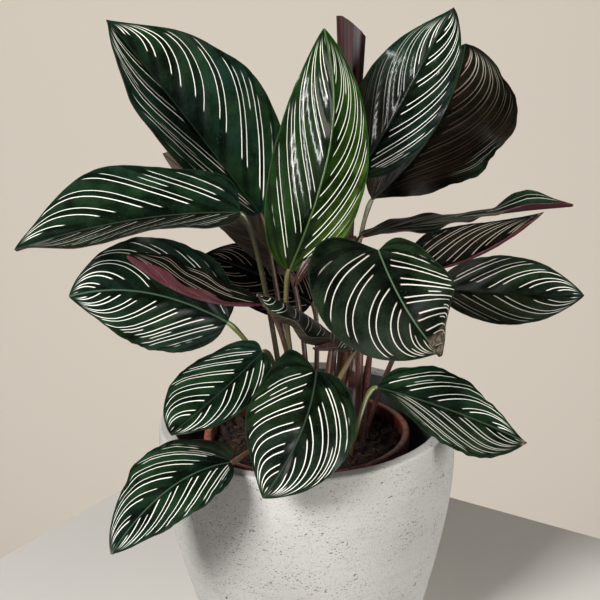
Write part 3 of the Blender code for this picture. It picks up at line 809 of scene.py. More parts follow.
def leaf_upper_face(name, deep, green, teal, line, blush, rib, edge, shine, gloss=0.3, coat=0.0):
    """Living calathea leaf, upper face, grown: a waxy skin over a quilted blade.

    It gives the eye mottled dark green, near-black beside the midrib and inside each pair of
    stripes, thin hand-drawn cream lines that start blush pink, and a satin sheen.
    """
    made, n = start_finish(name)
    maps = LeafMaps(*(number for map_name in LEAF_MAPS for number in read_map(n, map_name)))
    stripe, begin, between = pin_stripes(n, maps)
    place = n("TexCoord", out=IN_OBJECT)
    grain = streaks(n, maps.count, 16.0, maps.q, 5.0, 3.0)
    blotch = n("TexNoise", place, grains(18.18), 4.0, 0.6)
    cloud = n("TexNoise", place, grains(41.67), 2.0)
    tone = n("Math MULTIPLY_ADD", n("Math SUBTRACT", grain, 0.5), 0.7,
             n("MapRange", blotch, 0.34, 0.66, 0.15, 1.0), use_clamp=True)
    tone = n("Math MULTIPLY", tone, n("MapRange", maps.q, 0.02, 0.5, 0.4, 1.0))
    tone = n("Math MULTIPLY", tone, between)
    band = n("Mix RGBA", n("MapRange", cloud, 0.42, 0.6), green, teal)
    band = n("Mix RGBA", maps.young, band, YOUNG_GREEN)
    # Bronze tint, and painted shade on halves in shadow, darken the band towards near-black brown
    band = n("Mix RGBA", maps.bronze, band, BRONZE_AND_SHADE)
    skin = n("Mix RGBA", tone, deep, band)
    # Painted glints: fine pale-green specks mixed into the skin colour stand in for highlights
    painted_glint = n("TexNoise", place, grains(0.909), 1.0)
    skin = n("Mix RGBA", n("MapRange", painted_glint, 0.66, 0.8, 0.0, 0.22), skin, PAINTED_LEAF_GLINT)
    skin = n("Mix RGBA", n("MapRange SMOOTHSTEP", maps.from_edge, 1.1, 0.1), skin, edge)
    pink = n("MapRange", n("Math SUBTRACT", maps.q, begin), 0.0, 0.3, 1.0, 0.3)
    ink = n("Mix RGBA", n("Math MULTIPLY", pink, maps.blush), line, blush)
    # Stripes where bronze and painted shade are strongest take the dull brown ink
    ink = n("Mix RGBA", n("MapRange", maps.bronze, 0.6, 1.0), ink, BRONZE_AND_SHADE_INK)
    skin = n("Mix RGBA", stripe, skin, ink)
    rib_line = n("MapRange SMOOTHSTEP", maps.from_rib, 0.2, 0.75, 0.85, 0.0)
    skin = n("Mix RGBA", n("Math MULTIPLY", rib_line, maps.rib), skin, rib)
    crumple = n("TexNoise", place, grains(3.846), 4.0)
    withered = n("Mix RGBA", n("MapRange", crumple, 0.4, 0.62), *WITHERED)
    dry = n("Math MULTIPLY", maps.dry, n("MapRange", crumple, 0.35, 0.6, 0.35, 0.95))
    skin = n("Mix RGBA", dry, skin, withered)
    pores = n("TexNoise", place, grains(1.111), 2.0)
    bump = n("Bump", 0.5, 0.06 * MM, Height=n("Math ADD", grain, pores))
    matt = n("MapRange", blotch, 0.3, 0.7, gloss - 0.05, gloss + 0.06)
    return close_finish(made, n, Base_Color=skin, Roughness=matt, Normal=bump, IOR=1.5,
                        Specular_IOR_Level=shine, Coat_Weight=coat, Coat_Roughness=0.12)


def leaf_under_face(name, deep, pale, line):
    """Living calathea leaf, under face, grown: matt purple felt with paler side veins."""
    made, n = start_finish(name)
    count, q = read_map(n, "vein")
    aside = n("Math ABSOLUTE", n("Math SUBTRACT", n("Math FRACT", count), 0.5))
    aside = n("Math ABSOLUTE", n("Math SUBTRACT", aside, 0.17))
    vein = n("MapRange SMOOTHSTEP", aside, 0.02, 0.09, 0.4, 0.0)
    vein = n("Math MULTIPLY", vein, n("MapRange SMOOTHSTEP", q, 0.05, 0.25))
    grain = streaks(n, count, 20.0, q, 4.0, 4.0)
    felt = n("Mix RGBA", n("MapRange", grain, 0.32, 0.68), deep, pale)
    felt = n("Mix RGBA", vein, felt, line)
    bump = n("Bump", 0.4, 0.4 * MM, Height=grain)
    return close_finish(made, n, Base_Color=felt, Roughness=0.6, Normal=bump, IOR=1.45,
                        Specular_IOR_Level=0.15)


def stalk_skin(name, foot, middle, top):
    """Fleshy leaf stalk, grown: satin skin with fine lengthwise ridges, its colour changing
    from the soil to the leaf, and paler flecks."""
    made, n = start_finish(name)
    turn, along = read_map(n, "way")
    streak = streaks(n, turn, 26.0, along, 7.0, 3.0)
    share = n("Math MULTIPLY_ADD", n("Math SUBTRACT", streak, 0.5), 0.35, along, use_clamp=True)
    colour = n("ValToRGB", share, stops=((0.0, foot), (0.5, middle), (0.93, top)))
    fleck = n("TexNoise", n("TexCoord", out=IN_OBJECT), grains(1.923), 2.0)
    colour = n("Mix RGBA", n("MapRange", fleck, 0.6, 0.72, 0.0, 0.35), colour, STALK_FLECK)
    bump = n("Bump", 0.3, 0.3 * MM, Height=streak)
    return close_finish(made, n, Base_Color=colour, Roughness=0.42, Normal=bump, IOR=1.45)


def stem_tube(name, points, radius_at, sides, finish):
    """A round stem along points in mm: a grid rolled round them, with a map of turn and way."""
    bm = sheet(sides, len(points) - 1)
    heading = Vector((0, 0, 1))
    frame = Matrix.Identity(3)
    frames = []
    gone = 0
    for i, point in enumerate(points):
        ahead = points[min(i + 1, len(points) - 1)] - points[max(i - 1, 0)]
        frame = heading.rotation_difference(ahead).to_matrix() @ frame
        heading = ahead.normalized()
        gone += (point - points[max(i - 1, 0)]).length
        frames.append((frame, gone))
    for vert in bm.verts:
        turn = math.tau * (vert.co.x + 0.5)
        ring = round((vert.co.y + 0.5) * (len(points) - 1))
        frame, here = frames[ring]
        radius = radius_at(here / gone, here)
        vert.co = (points[ring] + frame @ Vector((math.cos(turn), math.sin(turn), 0)) * radius) * MM
    weld(bm)
    close_ends(bm)
    return new_object(name, bm, finish)


def soil_height(radius, angle):
    """Height of the soil's surface: low at the pot's wall, with shallow bumps."""
    edge = nursery_wall_radius(SOIL_TOP) - NURSERY_WALL - GAP
    rise = SOIL_DOME * (1 - (radius / edge) ** 2)
    ripple = math.sin(radius / SOIL_RIPPLE + 2 * angle)
    cross_ripple = math.cos(3 * angle - radius / SOIL_CROSS_RIPPLE)
    bump = SOIL_BUMP * ripple * cross_ripple * min(1, radius / SOIL_CALM_RADIUS)
    return SOIL_TOP + rise + bump


def rooted(root, path, count):
    """Points of a stem that stands upright in its hole and then follows its curve."""
    x, y = root
    top = soil_height(math.hypot(x, y), math.atan2(y, x))
    start = Vector((x, y, top + STALK_STRAIGHT))
    points = [Vector((x, y, top - HOLE_DEPTH + GAP)), start]
    points += [bezier((start, *path), i / count) for i in range(1, count + 1)]
    return points


def leaf_stalk(leaf, finish):
    """The stalk up to the blade's underside, with the swollen knee of the kind at its top."""
    if min(leaf.left.lobe, leaf.right.lobe) > 0:
        seat, along = midrib(leaf, LOBED_SEAT)
        up = upward(leaf, along)
        lean = (along + 2 * up).normalized()
        end = seat - up * LOBED_SEAT_DEPTH
    else:
        seat, lean = midrib(leaf, 0)
        end = seat - upward(leaf, lean) * MIDRIB_THICKNESS / 2
    neck = end - lean * STALK_NECK
    points = rooted(leaf.root, (leaf.via, neck, end), STALK_RINGS - 2)
    length = sum((b - a).length for a, b in zip(points, points[1:]))

    def radius_at(share, gone):
        radius = STALK_FOOT_RADIUS + (STALK_TIP_RADIUS - STALK_FOOT_RADIUS) * share
        knee = (length - gone - KNEE_LENGTH * 0.7) / (KNEE_LENGTH / 2)
        return radius + KNEE_SWELL * math.exp(-knee * knee)

    obj = stem_tube(f"{leaf.name}_petiole", points, radius_at, STALK_SIDES, finish)
    pale = leaf.name in PALE_STALKS
    stand_for(obj, "stalk_pale_green" if pale else "stalk_red_brown", f"{leaf.name}_stalk")


def planter_radius(z):
    """Outer radius of the planter at a height."""
    if z > PLANTER_BELLY_HEIGHT:
        up = (z - PLANTER_BELLY_HEIGHT) / (PLANTER_HEIGHT - PLANTER_BELLY_HEIGHT)
        return PLANTER_RIM_RADIUS + PLANTER_BELLY * (1 - up * up)
    down = (PLANTER_BELLY_HEIGHT - z) / PLANTER_BELLY_HEIGHT
    belly = PLANTER_RIM_RADIUS + PLANTER_BELLY
    return belly - (belly - PLANTER_FOOT_RADIUS) * down ** PLANTER_CURVE


def arc(centre, radius, start, end, steps):
    """Points of a round corner, from one angle to another in degrees."""
    for i in range(steps + 1):
        a = math.radians(start + (end - start) * i / steps)
        yield centre[0] + radius * math.cos(a), centre[1] + radius * math.sin(a)


def planter_profile():
    top = PLANTER_HEIGHT - PLANTER_EDGE
    foot = PLANTER_FOOT_ROUND
    points = list(arc((planter_radius(foot) - foot, foot), foot, -90, -12, 7))
    for i in range(1, PLANTER_BANDS + 1):
        z = foot + (top - foot) * i / PLANTER_BANDS
        points.append((planter_radius(z), z))
    outer = planter_radius(top) - PLANTER_EDGE
    dark_inside = planter_radius(top) - PLANTER_WALL + PLANTER_EDGE
    points += list(arc((outer, top), PLANTER_EDGE, 20, 90, 4))
    points += list(arc((dark_inside, top), PLANTER_EDGE, 90, 180, 5))
    low = PLANTER_FLOOR + foot
    for i in range(1, PLANTER_INNER_BANDS + 1):
        z = top + (low - top) * i / PLANTER_INNER_BANDS
        points.append((planter_radius(z) - PLANTER_WALL, z))
    points += [(planter_radius(low) - PLANTER_WALL - foot, PLANTER_FLOOR), (0, PLANTER_FLOOR),
               (0, 0)]
    return points


def turned(profile, sides):
    """A mesh turned round Z from a closed outline of (radius, height) in mm."""
    bm = bmesh.new()
    points = [bm.verts.new((r * MM, 0, z * MM)) for r, z in profile]
    edges = [bm.edges.new((a, b)) for a, b in zip(points, points[1:] + points[:1])]
    bmesh.ops.spin(bm, geom=points + edges, cent=(0, 0, 0), axis=(0, 0, 1), angle=math.tau,
                   steps=sides, use_merge=True, use_duplicate=False)
    weld(bm)
    flat = [f for f in bm.faces if f.calc_area() < (WELD * MM) ** 2]
    bmesh.ops.delete(bm, geom=flat, context="FACES")
    bmesh.ops.recalc_face_normals(bm, faces=bm.faces)
    return bm


def make_planter(outside, inside):
    bm = turned(planter_profile(), PLANTER_SIDES)
    for face in bm.faces:
        middle = face.calc_center_median()
        inward = face.normal.xy.dot(middle.xy) < -1e-6 or face.normal.z > 0.9
        below_lip = middle.z < (PLANTER_HEIGHT - PLANTER_COATED_LIP) * MM
        face.material_index = int(inward and below_lip)
    for vert in bm.verts:
        radius = math.hypot(vert.co.x, vert.co.y)
        if radius > UNEVEN_FROM_RADIUS * MM and vert.co.z > UNEVEN_FROM_HEIGHT * MM:
            uneven = noise.noise(vert.co * PLANTER_WAVES)
            uneven += 0.5 * noise.noise(vert.co * PLANTER_FINE_WAVES)
            vert.co.xy *= 1 + PLANTER_UNEVEN * MM * uneven / radius
            if vert.co.z > (PLANTER_HEIGHT - RIM_ZONE) * MM:
                vert.co.z += PLANTER_UNEVEN * MM * noise.noise(vert.co * RIM_WAVES)
    stand_for(new_object("planter_body", bm, outside, inside), "planter_cement", "planter")


def cast_cement(name, dark, middle, light, pit):
    """Fibre cement, cast and rubbed with a slurry: chalky and matt, with faint level brush
    marks, fine specks and a few black pits and dashes where the slurry left the body bare."""
    made, n = start_finish(name)
    place = n("TexCoord", out=IN_OBJECT)
    marks = n("TexNoise", n("Mapping", place, Scale=(1, 1, 9)), grains(41.67), 6.0, 0.65)
    cloud = n("TexNoise", place, grains(71.43), 3.0)
    dust = n("TexNoise", place, grains(1.0), 2.0, 0.7)
    chalk = n("Mix RGBA", n("MapRange", cloud, 0.35, 0.65), middle, light)
    chalk = n("Mix RGBA", n("MapRange", marks, 0.5, 0.74, 0.0, 0.3), chalk, dark)
    chalk = n("Mix RGBA", n("MapRange", dust, 0.53, 0.72, 0.0, 0.85), chalk, dark)
    where = n("TexNoise", place, grains(23.81), 2.0)
    speck = n("TexNoise", n("Mapping", place, Scale=(1, 1, 1.7)), grains(1.613), 2.0)
    speck = n("MapRange", n("Math MULTIPLY_ADD", where, 0.25, speck), 0.775, 0.815)
    slant = n("Mapping", place, Rotation=(0.2, 0.3, 0), Scale=(1, 1, 2.4))
    dash = n("TexNoise", slant, grains(5.263), 3.5, 0.6)
    dash = n("MapRange", n("Math MULTIPLY_ADD", where, 0.2, dash), 0.775, 0.81)
    bare = n("Math MAXIMUM", n("Math MULTIPLY", speck, 0.7), dash)
    chalk = n("Mix RGBA", n("Math MULTIPLY", bare, 0.85), chalk, pit)
    height = n("Math MULTIPLY_ADD", marks, 0.8, n("Math MULTIPLY_ADD", bare, -1.5, dust))
    bump = n("Bump", 0.5, 0.5 * MM, Height=height)
    return close_finish(made, n, Base_Color=chalk, Roughness=0.88, Normal=bump, IOR=1.45,
                        Specular_IOR_Level=0.3)


def nursery_wall_radius(z):
    """Outer radius of the nursery pot's wall below its collar."""
    low = PLANTER_FLOOR + GAP
    up = (z - low) / (NURSERY_RIM_HEIGHT - low)
    collar = NURSERY_RIM_RADIUS - NURSERY_COLLAR_STEP
    return NURSERY_BASE_RADIUS + (collar - NURSERY_BASE_RADIUS) * up


def nursery_profile():
    low = PLANTER_FLOOR + GAP
    rim = NURSERY_RIM_HEIGHT
    collar = rim - NURSERY_COLLAR_DEPTH
    floor = low + NURSERY_WALL
    lip = (nursery_wall_radius(rim) - NURSERY_WALL + NURSERY_RIM_RADIUS) / 2
    roll = NURSERY_RIM_RADIUS - lip
    points = [(0, low), (NURSERY_BASE_RADIUS - NURSERY_WALL, low),
              (nursery_wall_radius(low + NURSERY_WALL), low + NURSERY_WALL),
              (nursery_wall_radius(collar - 1), collar - 1), (NURSERY_RIM_RADIUS - 1.2, collar),
              (NURSERY_RIM_RADIUS - 0.5, collar + 0.8)]
    points += [(lip + roll * math.cos(a), rim - NURSERY_LIP_ROLL * (1 - math.sin(a)))
               for a in (math.pi * i / 8 for i in range(9))]
    points += [(nursery_wall_radius(rim) - NURSERY_WALL, rim - NURSERY_LIP_DEPTH),
               (nursery_wall_radius(SOIL_TOP) - NURSERY_WALL, SOIL_TOP),
               (nursery_wall_radius(floor) - NURSERY_WALL, floor), (0, floor)]
    return points


def make_nursery_pot(finish):
    bm = turned(nursery_profile(), NURSERY_SIDES)
    obj = new_object("nursery_pot_shell", bm, finish)
    bm = bmesh.new()
    for i in range(DRAIN_HOLES):
        turn = Matrix.Rotation(math.tau * i / DRAIN_HOLES, 4, "Z")
        place = Matrix.Translation(Vector((DRAIN_CIRCLE, 0, PLANTER_FLOOR)) * MM)
        bmesh.ops.create_cone(bm, cap_ends=True, segments=24, radius1=DRAIN_RADIUS * MM,
                              radius2=DRAIN_RADIUS * MM, depth=DRILL_LENGTH * MM,
                              matrix=turn @ place)
    drill = new_object("drain_drill", bm)
    holes = obj.modifiers.new("drain_holes", "BOOLEAN")
    holes.operation = "DIFFERENCE"
    holes.solver = "EXACT"
    holes.object = drill
    settle(obj, 35)
    bpy.data.objects.remove(drill, do_unlink=True)
    stand_for(obj, "nursery_pot_plastic", "nursery_pot")


def terracotta_plastic(name):
    """Polypropylene, injection moulded in a terracotta colour: satin with scuffs and peat dust
    smeared over the rim, and all of the inside darkened towards the peat colour."""
    made, n = start_finish(name)
    place = n("TexCoord", out=IN_OBJECT)
    smear = n("TexNoise", place, grains(16.67), 5.0, 0.65)
    speck = n("TexNoise", place, grains(2.381), 2.0)
    colour = n("ValToRGB", smear, stops=((0.3, "#742c20"), (0.52, "#98432e"), (0.75, "#aa563f")))
    dirt_and_dark_inside = n("MapRange", n("Math ADD", smear, speck), 0.98, 1.12)
    from_axis = n("VectorMath LENGTH", n("Mapping", place, Scale=(1, 1, 0)))
    # Everything inside the clean lip is darkened towards the peat colour
    clean = NURSERY_RIM_RADIUS - NURSERY_CLEAN_LIP
    dark_inside = n("MapRange", from_axis, clean * MM, (clean - 1) * MM)
    dirt_and_dark_inside = n("Math MULTIPLY", n("Math MAXIMUM", dirt_and_dark_inside, dark_inside), 0.65)
    colour = n("Mix RGBA", dirt_and_dark_inside, colour, PEAT_SMEAR)
    bump = n("Bump", 0.3, 0.4 * MM, Height=smear)
    matt = n("MapRange", smear, 0.3, 0.7, 0.35, 0.6)
    return close_finish(made, n, Base_Color=colour, Roughness=matt, Normal=bump, IOR=1.49)


def peat(name, dark, brown):
    """Peat potting mix, loosely filled and damp: near-black with brown crumbs, no gloss."""
    made, n = start_finish(name)
    lump = n("TexNoise", n("TexCoord", out=IN_OBJECT), grains(3.846), 6.0, 0.7)
    colour = n("ValToRGB", lump, stops=((0.35, dark), (0.58, brown), (0.8, PEAT_LIGHT)))
    bump = n("Bump", 0.9, 1.2 * MM, Height=lump)
    return close_finish(made, n, Base_Color=colour, Roughness=0.93, Normal=bump,
                        Specular_IOR_Level=0.25)


def make_soil(finish, crumb_finish, fibre_finish):
    """The fill of peat as one lumpy body, with loose crumbs and root fibres on top."""
    edge = nursery_wall_radius(SOIL_TOP) - NURSERY_WALL - GAP
    low = PLANTER_FLOOR + NURSERY_WALL + 2 * GAP
    bm = bmesh.new()
    bmesh.ops.create_grid(bm, x_segments=SOIL_CELLS, y_segments=SOIL_CELLS, size=1)
    for vert in bm.verts:
        x, y = vert.co.x, vert.co.y
        round_x, round_y = x * math.sqrt(1 - y * y / 2), y * math.sqrt(1 - x * x / 2)
        radius = edge * math.hypot(round_x, round_y)
        height = soil_height(radius, math.atan2(round_y, round_x))
        spot = Vector((round_x, round_y, 0)) * edge / SOIL_LUMP_SIZE
        lumps = noise.fractal(spot, 1.0, 2.0, 5)
        height += SOIL_LUMP * lumps * min(1, (edge - radius) / SOIL_LUMP_FADE + 0.15)
        height += SOIL_BANK * max(0, 1 - (edge - radius) / SOIL_BANK_WIDTH) * (1 + lumps)
        vert.co = Vector((round_x * edge, round_y * edge, height)) * MM
    rim = [e for e in bm.edges if e.is_boundary]
    wall = bmesh.ops.extrude_edge_only(bm, edges=rim)["geom"]
    foot = (nursery_wall_radius(low) - NURSERY_WALL - GAP) / edge
    for vert in (g for g in wall if isinstance(g, bmesh.types.BMVert)):
        vert.co = Vector((vert.co.x * foot, vert.co.y * foot, low * MM))
    close_ends(bm)
    stand_for(new_object("peat_fill", bm, finish), "soil_peat", "soil")
    scatter_crumbs(edge, crumb_finish)
    scatter_fibres(edge, fibre_finish)


def strewn(rng, reach):
    """A random place on the soil within a radius, as a point and the soil's height there."""
    radius = reach * math.sqrt(rng.random())
    angle = rng.uniform(0, math.tau)
    return Vector((radius * math.cos(angle), radius * math.sin(angle), soil_height(radius, angle)))


def scatter_crumbs(edge, finish):
    """Loose crumbs of peat. Both kinds of random draw have a seed, so each run gives the same."""
    rng = random.Random(SEED)
    noise.seed_set(SEED)
    bm = bmesh.new()
    for _ in range(CRUMBS):
        place = strewn(rng, edge - CRUMB_MARGIN)
        size = rng.choice(CRUMB_SIZES)
        place.z += size / 2
        turn = Matrix.Rotation(rng.uniform(0, math.tau), 4,
                               Vector((rng.random(), rng.random(), 0.3)).normalized())
        shape = Matrix.Diagonal((1, rng.uniform(0.6, 1), rng.uniform(0.5, 0.9), 1))
        made = bmesh.ops.create_icosphere(bm, subdivisions=1, radius=size * MM,
                                          matrix=Matrix.Translation(place * MM) @ turn @ shape)
        for vert in made["verts"]:
            vert.co += noise.noise_vector(vert.co * CRUMB_WAVES) * CRUMB_ROUGHNESS * size * MM
    stand_for(new_object("peat_crumbs", bm, finish), "soil_peat")


def scatter_fibres(edge, finish):
    rng = random.Random(SEED + 1)
    bm = bmesh.new()
    for _ in range(FIBRES):
        place = strewn(rng, edge - FIBRE_MARGIN)
        place.z += FIBRE_LIFT
        length = rng.uniform(*FIBRE_LENGTHS)
        lay = Matrix.Rotation(rng.uniform(0, math.tau), 4, "Z")
        tip = Matrix.Rotation(math.pi / 2 + rng.uniform(-0.2, 0.2), 4, "Y")
        bmesh.ops.create_cone(bm, cap_ends=True, segments=5, radius1=FIBRE_RADII[0] * MM,
                              radius2=FIBRE_RADII[1] * MM, depth=length * MM,
                              matrix=Matrix.Translation(place * MM) @ lay @ tip)
    stand_for(new_object("root_fibres", bm, finish), "soil_peat")


def make_crown(finish):
    points = rooted(CROWN_ROOT, (CROWN_VIA, CROWN_TOP), CROWN_RINGS)

    def radius_at(share, gone):
        return CROWN_FOOT_RADIUS + (CROWN_TOP_RADIUS - CROWN_FOOT_RADIUS) * share

    obj = stem_tube("crown_sheath_stem", points, radius_at, CROWN_SIDES, finish)
    stand_for(obj, "stalk_red_brown", "crown_stem")


def stem_sheath(sheath, finish):
    """A thin sheath that wraps part of the way round a stem and ends in a point."""
    bm = sheet(*SHEATH_CELLS)
    for vert in bm.verts:
        across, s = 2 * vert.co.x, vert.co.y + 0.5
        ahead = bezier(sheath.path, min(1, s + 0.02)) - bezier(sheath.path, max(0, s - 0.02))
        ahead.normalize()
        out = Vector(sheath.face)
        out = (out - ahead * out.dot(ahead)).normalized()
        reach = (1 - s ** 3) ** 0.8
        angle = math.radians(sheath.wrap / 2) * across * reach
        ridges = SHEATH_RIDGE * math.cos(across * SHEATH_RIDGES)
        limp = SHEATH_LIMPNESS * s * noise.noise(Vector((across * 2, s * 3, 5)))
        radius = sheath.radius * (SHEATH_END + (1 - SHEATH_END) * reach + ridges + limp)
        point = out * math.cos(angle) + ahead.cross(out) * math.sin(angle)
        vert.co = (bezier(sheath.path, s) + point * radius) * MM
    weld(bm)
    obj = new_object(sheath.name, bm, finish)
    thicken(obj, SHEATH_THICKNESS)
    settle(obj, 50)
    stand_for(obj, "stalk_red_brown")


def make_shoot(finish):
    """The pale young shoot that crosses in front of the crown and ends in a point."""
    points = rooted(SHOOT_ROOT, SHOOT_PATH, SHOOT_RINGS)

    def radius_at(share, gone):
        return SHOOT_RADIUS * max(SHOOT_TIP, 1 - share ** SHOOT_TAPER)

    obj = stem_tube("young_shoot", points, radius_at, STALK_SIDES, finish)
    stand_for(obj, "stalk_pale_green")


def rolled_leaf(finish):
    """The new leaf: a thin sheet wound round its axis, cut at a slant at the top."""
    base, top = Vector(CROWN_TOP), Vector(ROLLED_TOP)
    axis = (top - base).normalized()
    base -= axis * ROLLED_SUNK
    length = (top - base).length
    turn = axis.to_track_quat("Z", "Y").to_matrix()
    bm = sheet(*ROLLED_CELLS)
    for vert in bm.verts:
        wind, s = vert.co.x + 0.5, vert.co.y + 0.5
        angle = math.tau * ROLLED_TURNS * wind
        radius = ROLLED_BASE_RADIUS + (ROLLED_TOP_RADIUS - ROLLED_BASE_RADIUS) * s
        radius -= ROLLED_PITCH * (1 - wind) * ROLLED_TURNS
        radius += ROLLED_FLUTE_DEPTH * math.sin(angle * ROLLED_FLUTES + s * 4) * s
        slant = ROLLED_SLANT * math.cos(angle - ROLLED_SLANT_ANGLE) * s ** ROLLED_SLANT_POWER
        local = Vector((radius * math.cos(angle), radius * math.sin(angle), length * s + slant))
        vert.co = (base + turn @ local) * MM
    obj = new_object("rolled_new_leaf", bm, finish)
    thicken(obj, ROLLED_THICKNESS)
    settle(obj, 50)
    stand_for(obj, "rolled_leaf_pink", "rolled_leaf")


def rolled_skin(name):
    """Unopened calathea leaf, grown, its purple underside outward: dusky pink with lengthwise
    streaks and a paler bloom."""
    made, n = start_finish(name)
    turn, along = read_map(n, "way")
    streak = streaks(n, turn, 46.0, along, 2.2, 4.0)
    colour = n("ValToRGB", streak, stops=((0.3, "#1c0e0f"), (0.5, "#331d1e"), (0.72, "#4d3333")))
    bump = n("Bump", 0.35, 0.5 * MM, Height=streak)
    return close_finish(made, n, Base_Color=colour, Roughness=0.48, Normal=bump, IOR=1.45,
                        Specular_IOR_Level=0.2)


def make_plant():
    upper = {
        "waxy": leaf_upper_face("waxy_leaf", "#030503", "#1d361f", "#193026", "#f0f6ec",
                                "#c39a8d", "#5c7a60", "#1c2c1c", shine=0.05),
        "satin": leaf_upper_face("satin_leaf", "#030503", "#1e3720", "#1b3024", "#eef2e8",
                                 "#c99e92", "#6b8468", "#1c2c1c", shine=0.02, gloss=0.36),
        "glossy": leaf_upper_face("glossy_leaf", "#030503", "#1a3524", "#17322d", "#eef4ea",
                                  "#c39a8d", "#5c7a60", "#1a2c1c", shine=0.01, coat=0.08),
        "fresh": leaf_upper_face("glossy_young_leaf", "#030b02", "#14330c", "#102d10",
                                 "#eef5e2", "#bb9484", "#84a866", "#24421c", shine=0.01,
                                 coat=0.16),
        "shaded": leaf_upper_face("dull_shaded_leaf", "#020302", "#0d1610", "#0d1614",
                                  "#9c9488", "#75604f", "#5d5b4a", "#121611", shine=0.01,
                                  gloss=0.45),
    }
    back = {
        "brown": leaf_under_face("felted_leaf_back", "#2e1b1e", "#503539", "#6a5050"),
        "pink": leaf_under_face("felted_pink_leaf_back", "#321218", "#54282f", "#683c43"),
        "grey": leaf_under_face("felted_grey_leaf_back", "#2e2721", "#5d5248", "#776a5d"),
    }
    skins = {
        "red": stalk_skin("stalk_skin_red", "#301512", "#48291d", "#54402c"),
        "pale": stalk_skin("stalk_skin_pale", "#4a3620", "#63622f", "#6c7a3a"),
        "straw": stalk_skin("stalk_skin_straw", "#4a3620", "#59512f", "#615a35"),
        "olive": stalk_skin("stalk_skin_olive", "#2b1c12", "#3d3821", "#4b4c2c"),
        "crown": stalk_skin("crown_skin", "#361314", "#502b23", "#5a352b"),
        "flap": stalk_skin("flap_skin_red", "#35181a", "#4c2022", "#3c2120"),
        "purple": stalk_skin("sheath_skin_purple", "#28130f", "#381b19", "#40211f"),
    }
    for number, leaf in enumerate(LEAVES):
        veins = VEINS[leaf.name]
        leaf_blade(leaf, number, upper[veins.finish], back[veins.back])
        leaf_stalk(leaf, skins[STALK_SKINS.get(leaf.name, "red")])
    make_crown(skins["crown"])
    rolled_leaf(rolled_skin("rolled_leaf_skin"))
    for sheath in SHEATHS:
        stem_sheath(sheath, skins[sheath.skin])
    make_shoot(stalk_skin("shoot_skin", "#4a3620", "#54491f", "#50341f"))


def painted(name, code):
    """Emulsion paint, rolled on: flat and matt, with a faint grain in raking light."""
    made, n = start_finish(name)
    grain = n("TexNoise", n("TexCoord", out=IN_OBJECT), grains(25.0), 4.0)
    bump = n("Bump", 0.05, 1.0 * MM, Height=grain)
    return close_finish(made, n, Base_Color=code, Roughness=0.9, Normal=bump,
                        Specular_IOR_Level=0.2)


def make_stage():
    """A pale table whose corner lies behind the planter, and a plain wall beyond it."""
    bm = bmesh.new()
    sizes = Matrix.Diagonal((TABLE_SIDE, TABLE_SIDE, TABLE_THICKNESS, 1))
    bmesh.ops.create_cube(bm, size=1, matrix=sizes)
    bmesh.ops.bevel(bm, geom=bm.edges[:], offset=TABLE_EDGE, segments=3, affect="EDGES",
                    profile=0.5, material=-1)
    bmesh.ops.translate(bm, verts=bm.verts,
                        vec=(TABLE_SIDE / 2, -TABLE_SIDE / 2, -TABLE_THICKNESS / 2))
    bmesh.ops.rotate(bm, verts=bm.verts, cent=(0, 0, 0),
                     matrix=Matrix.Rotation(math.radians(TABLE_TURN), 3, "Z"))
    bmesh.ops.translate(bm, verts=bm.verts, vec=(*TABLE_CORNER, 0))
    bmesh.ops.scale(bm, verts=bm.verts, vec=(MM, MM, MM))
    new_object("table", bm, painted("table_paint", "#d3d2cf"))
    bm = bmesh.new()
    bmesh.ops.create_grid(bm, x_segments=2, y_segments=2, size=WALL_REACH,
                          matrix=Matrix.Translation((0, WALL_BACK, WALL_MIDDLE))
                          @ Matrix.Rotation(math.pi / 2, 4, "X"))
    new_object("wall", bm, painted("wall_paint", "#d3ccc2"))


def aim(obj, place, target):
    obj.location = place
    obj.rotation_euler = (Vector(target) - Vector(place)).to_track_quat("-Z", "Y").to_euler()


def panel(name, place, target, width, height, watts, code, fills=True):
    """A soft light. One that doesn't fill only shows as a sheen in glossy skins."""
    data = bpy.data.lights.new(name, "AREA")
    data.shape = "RECTANGLE"
    data.size = width
    data.size_y = height
    data.energy = watts
    data.color = linear(code)[:3]
    obj = put_in(name, data)
    obj.visible_diffuse = fills
    obj.visible_camera = False
    aim(obj, place, target)


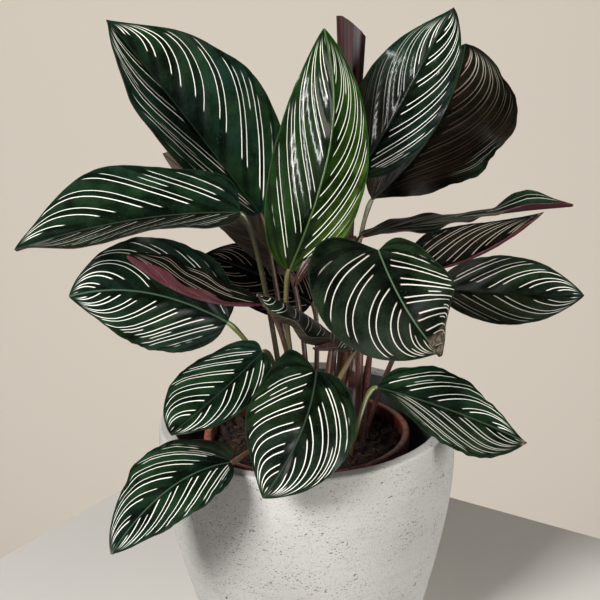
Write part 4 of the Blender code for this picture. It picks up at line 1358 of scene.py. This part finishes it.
def towards(azimuth, elevation, distance, height):
    """A place seen from the plant's axis at a height: azimuth 0 is the camera's side."""
    a, e = math.radians(azimuth), math.radians(elevation)
    return (distance * math.cos(e) * math.sin(a), -distance * math.cos(e) * math.cos(a),
            height + distance * math.sin(e))


def make_lights():
    panel("key_panel", towards(-40, 32, 2.2, 0.25), (0, 0, 0.25), 0.7, 0.7, 76, "#fffcf8")
    panel("right_panel", towards(62, 12, 2.0, 0.2), (0, 0, 0.2), 0.6, 0.9, 27, "#fffaf4")
    panel("sheen_panel", (0.43, -0.6, 0.33), (0, 0, 0.36), 0.05, 0.58, 12, "#ffffff",
          fills=False)
    panel("wall_panel", (0, 0.15, -0.7), (0, 1.6, -0.35), 2.2, 0.8, 11, "#fffaf4")
    world = bpy.data.worlds.new("studio_air")
    world.use_nodes = True
    back = world.node_tree.nodes["Background"]
    back.inputs["Color"].default_value = linear("#e9e6e2")
    back.inputs["Strength"].default_value = 0.04
    bpy.context.scene.world = world


def make_camera():
    data = bpy.data.cameras.new("photo_camera")
    data.lens = CAMERA_LENS
    data.sensor_width = SENSOR
    data.clip_start = 0.01
    obj = put_in("photo_camera", data)
    pitch = Matrix.Rotation(math.radians(90 - CAMERA_PITCH), 4, "X")
    roll = Matrix.Rotation(math.radians(-CAMERA_ROLL), 4, "Z")
    obj.matrix_world = Matrix.Translation(Vector(CAMERA_PLACE) * MM) @ pitch @ roll
    bpy.context.scene.camera = obj


def main():
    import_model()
    bpy.context.scene.view_settings.view_transform = "Standard"
    # The inside is grey cement painted far darker than the outside: partly its own colour, partly
    # painted shade inside the planter
    make_planter(cast_cement("white_rubbed_cement", "#918f8c", "#adadab", "#b5b5b4", "#2a2926"),
                 cast_cement("bare_grey_cement", "#373b3c", "#515657", "#676c6d", "#1d1f20"))
    make_nursery_pot(terracotta_plastic("terracotta_plastic"))
    make_soil(peat("damp_peat", "#0c0705", "#2b1b13"), peat("peat_crumb", "#150d09", "#37251a"),
              peat("root_fibre", "#3a2a1c", "#6a5038"))
    make_plant()
    make_stage()
    make_lights()
    make_camera()


main()
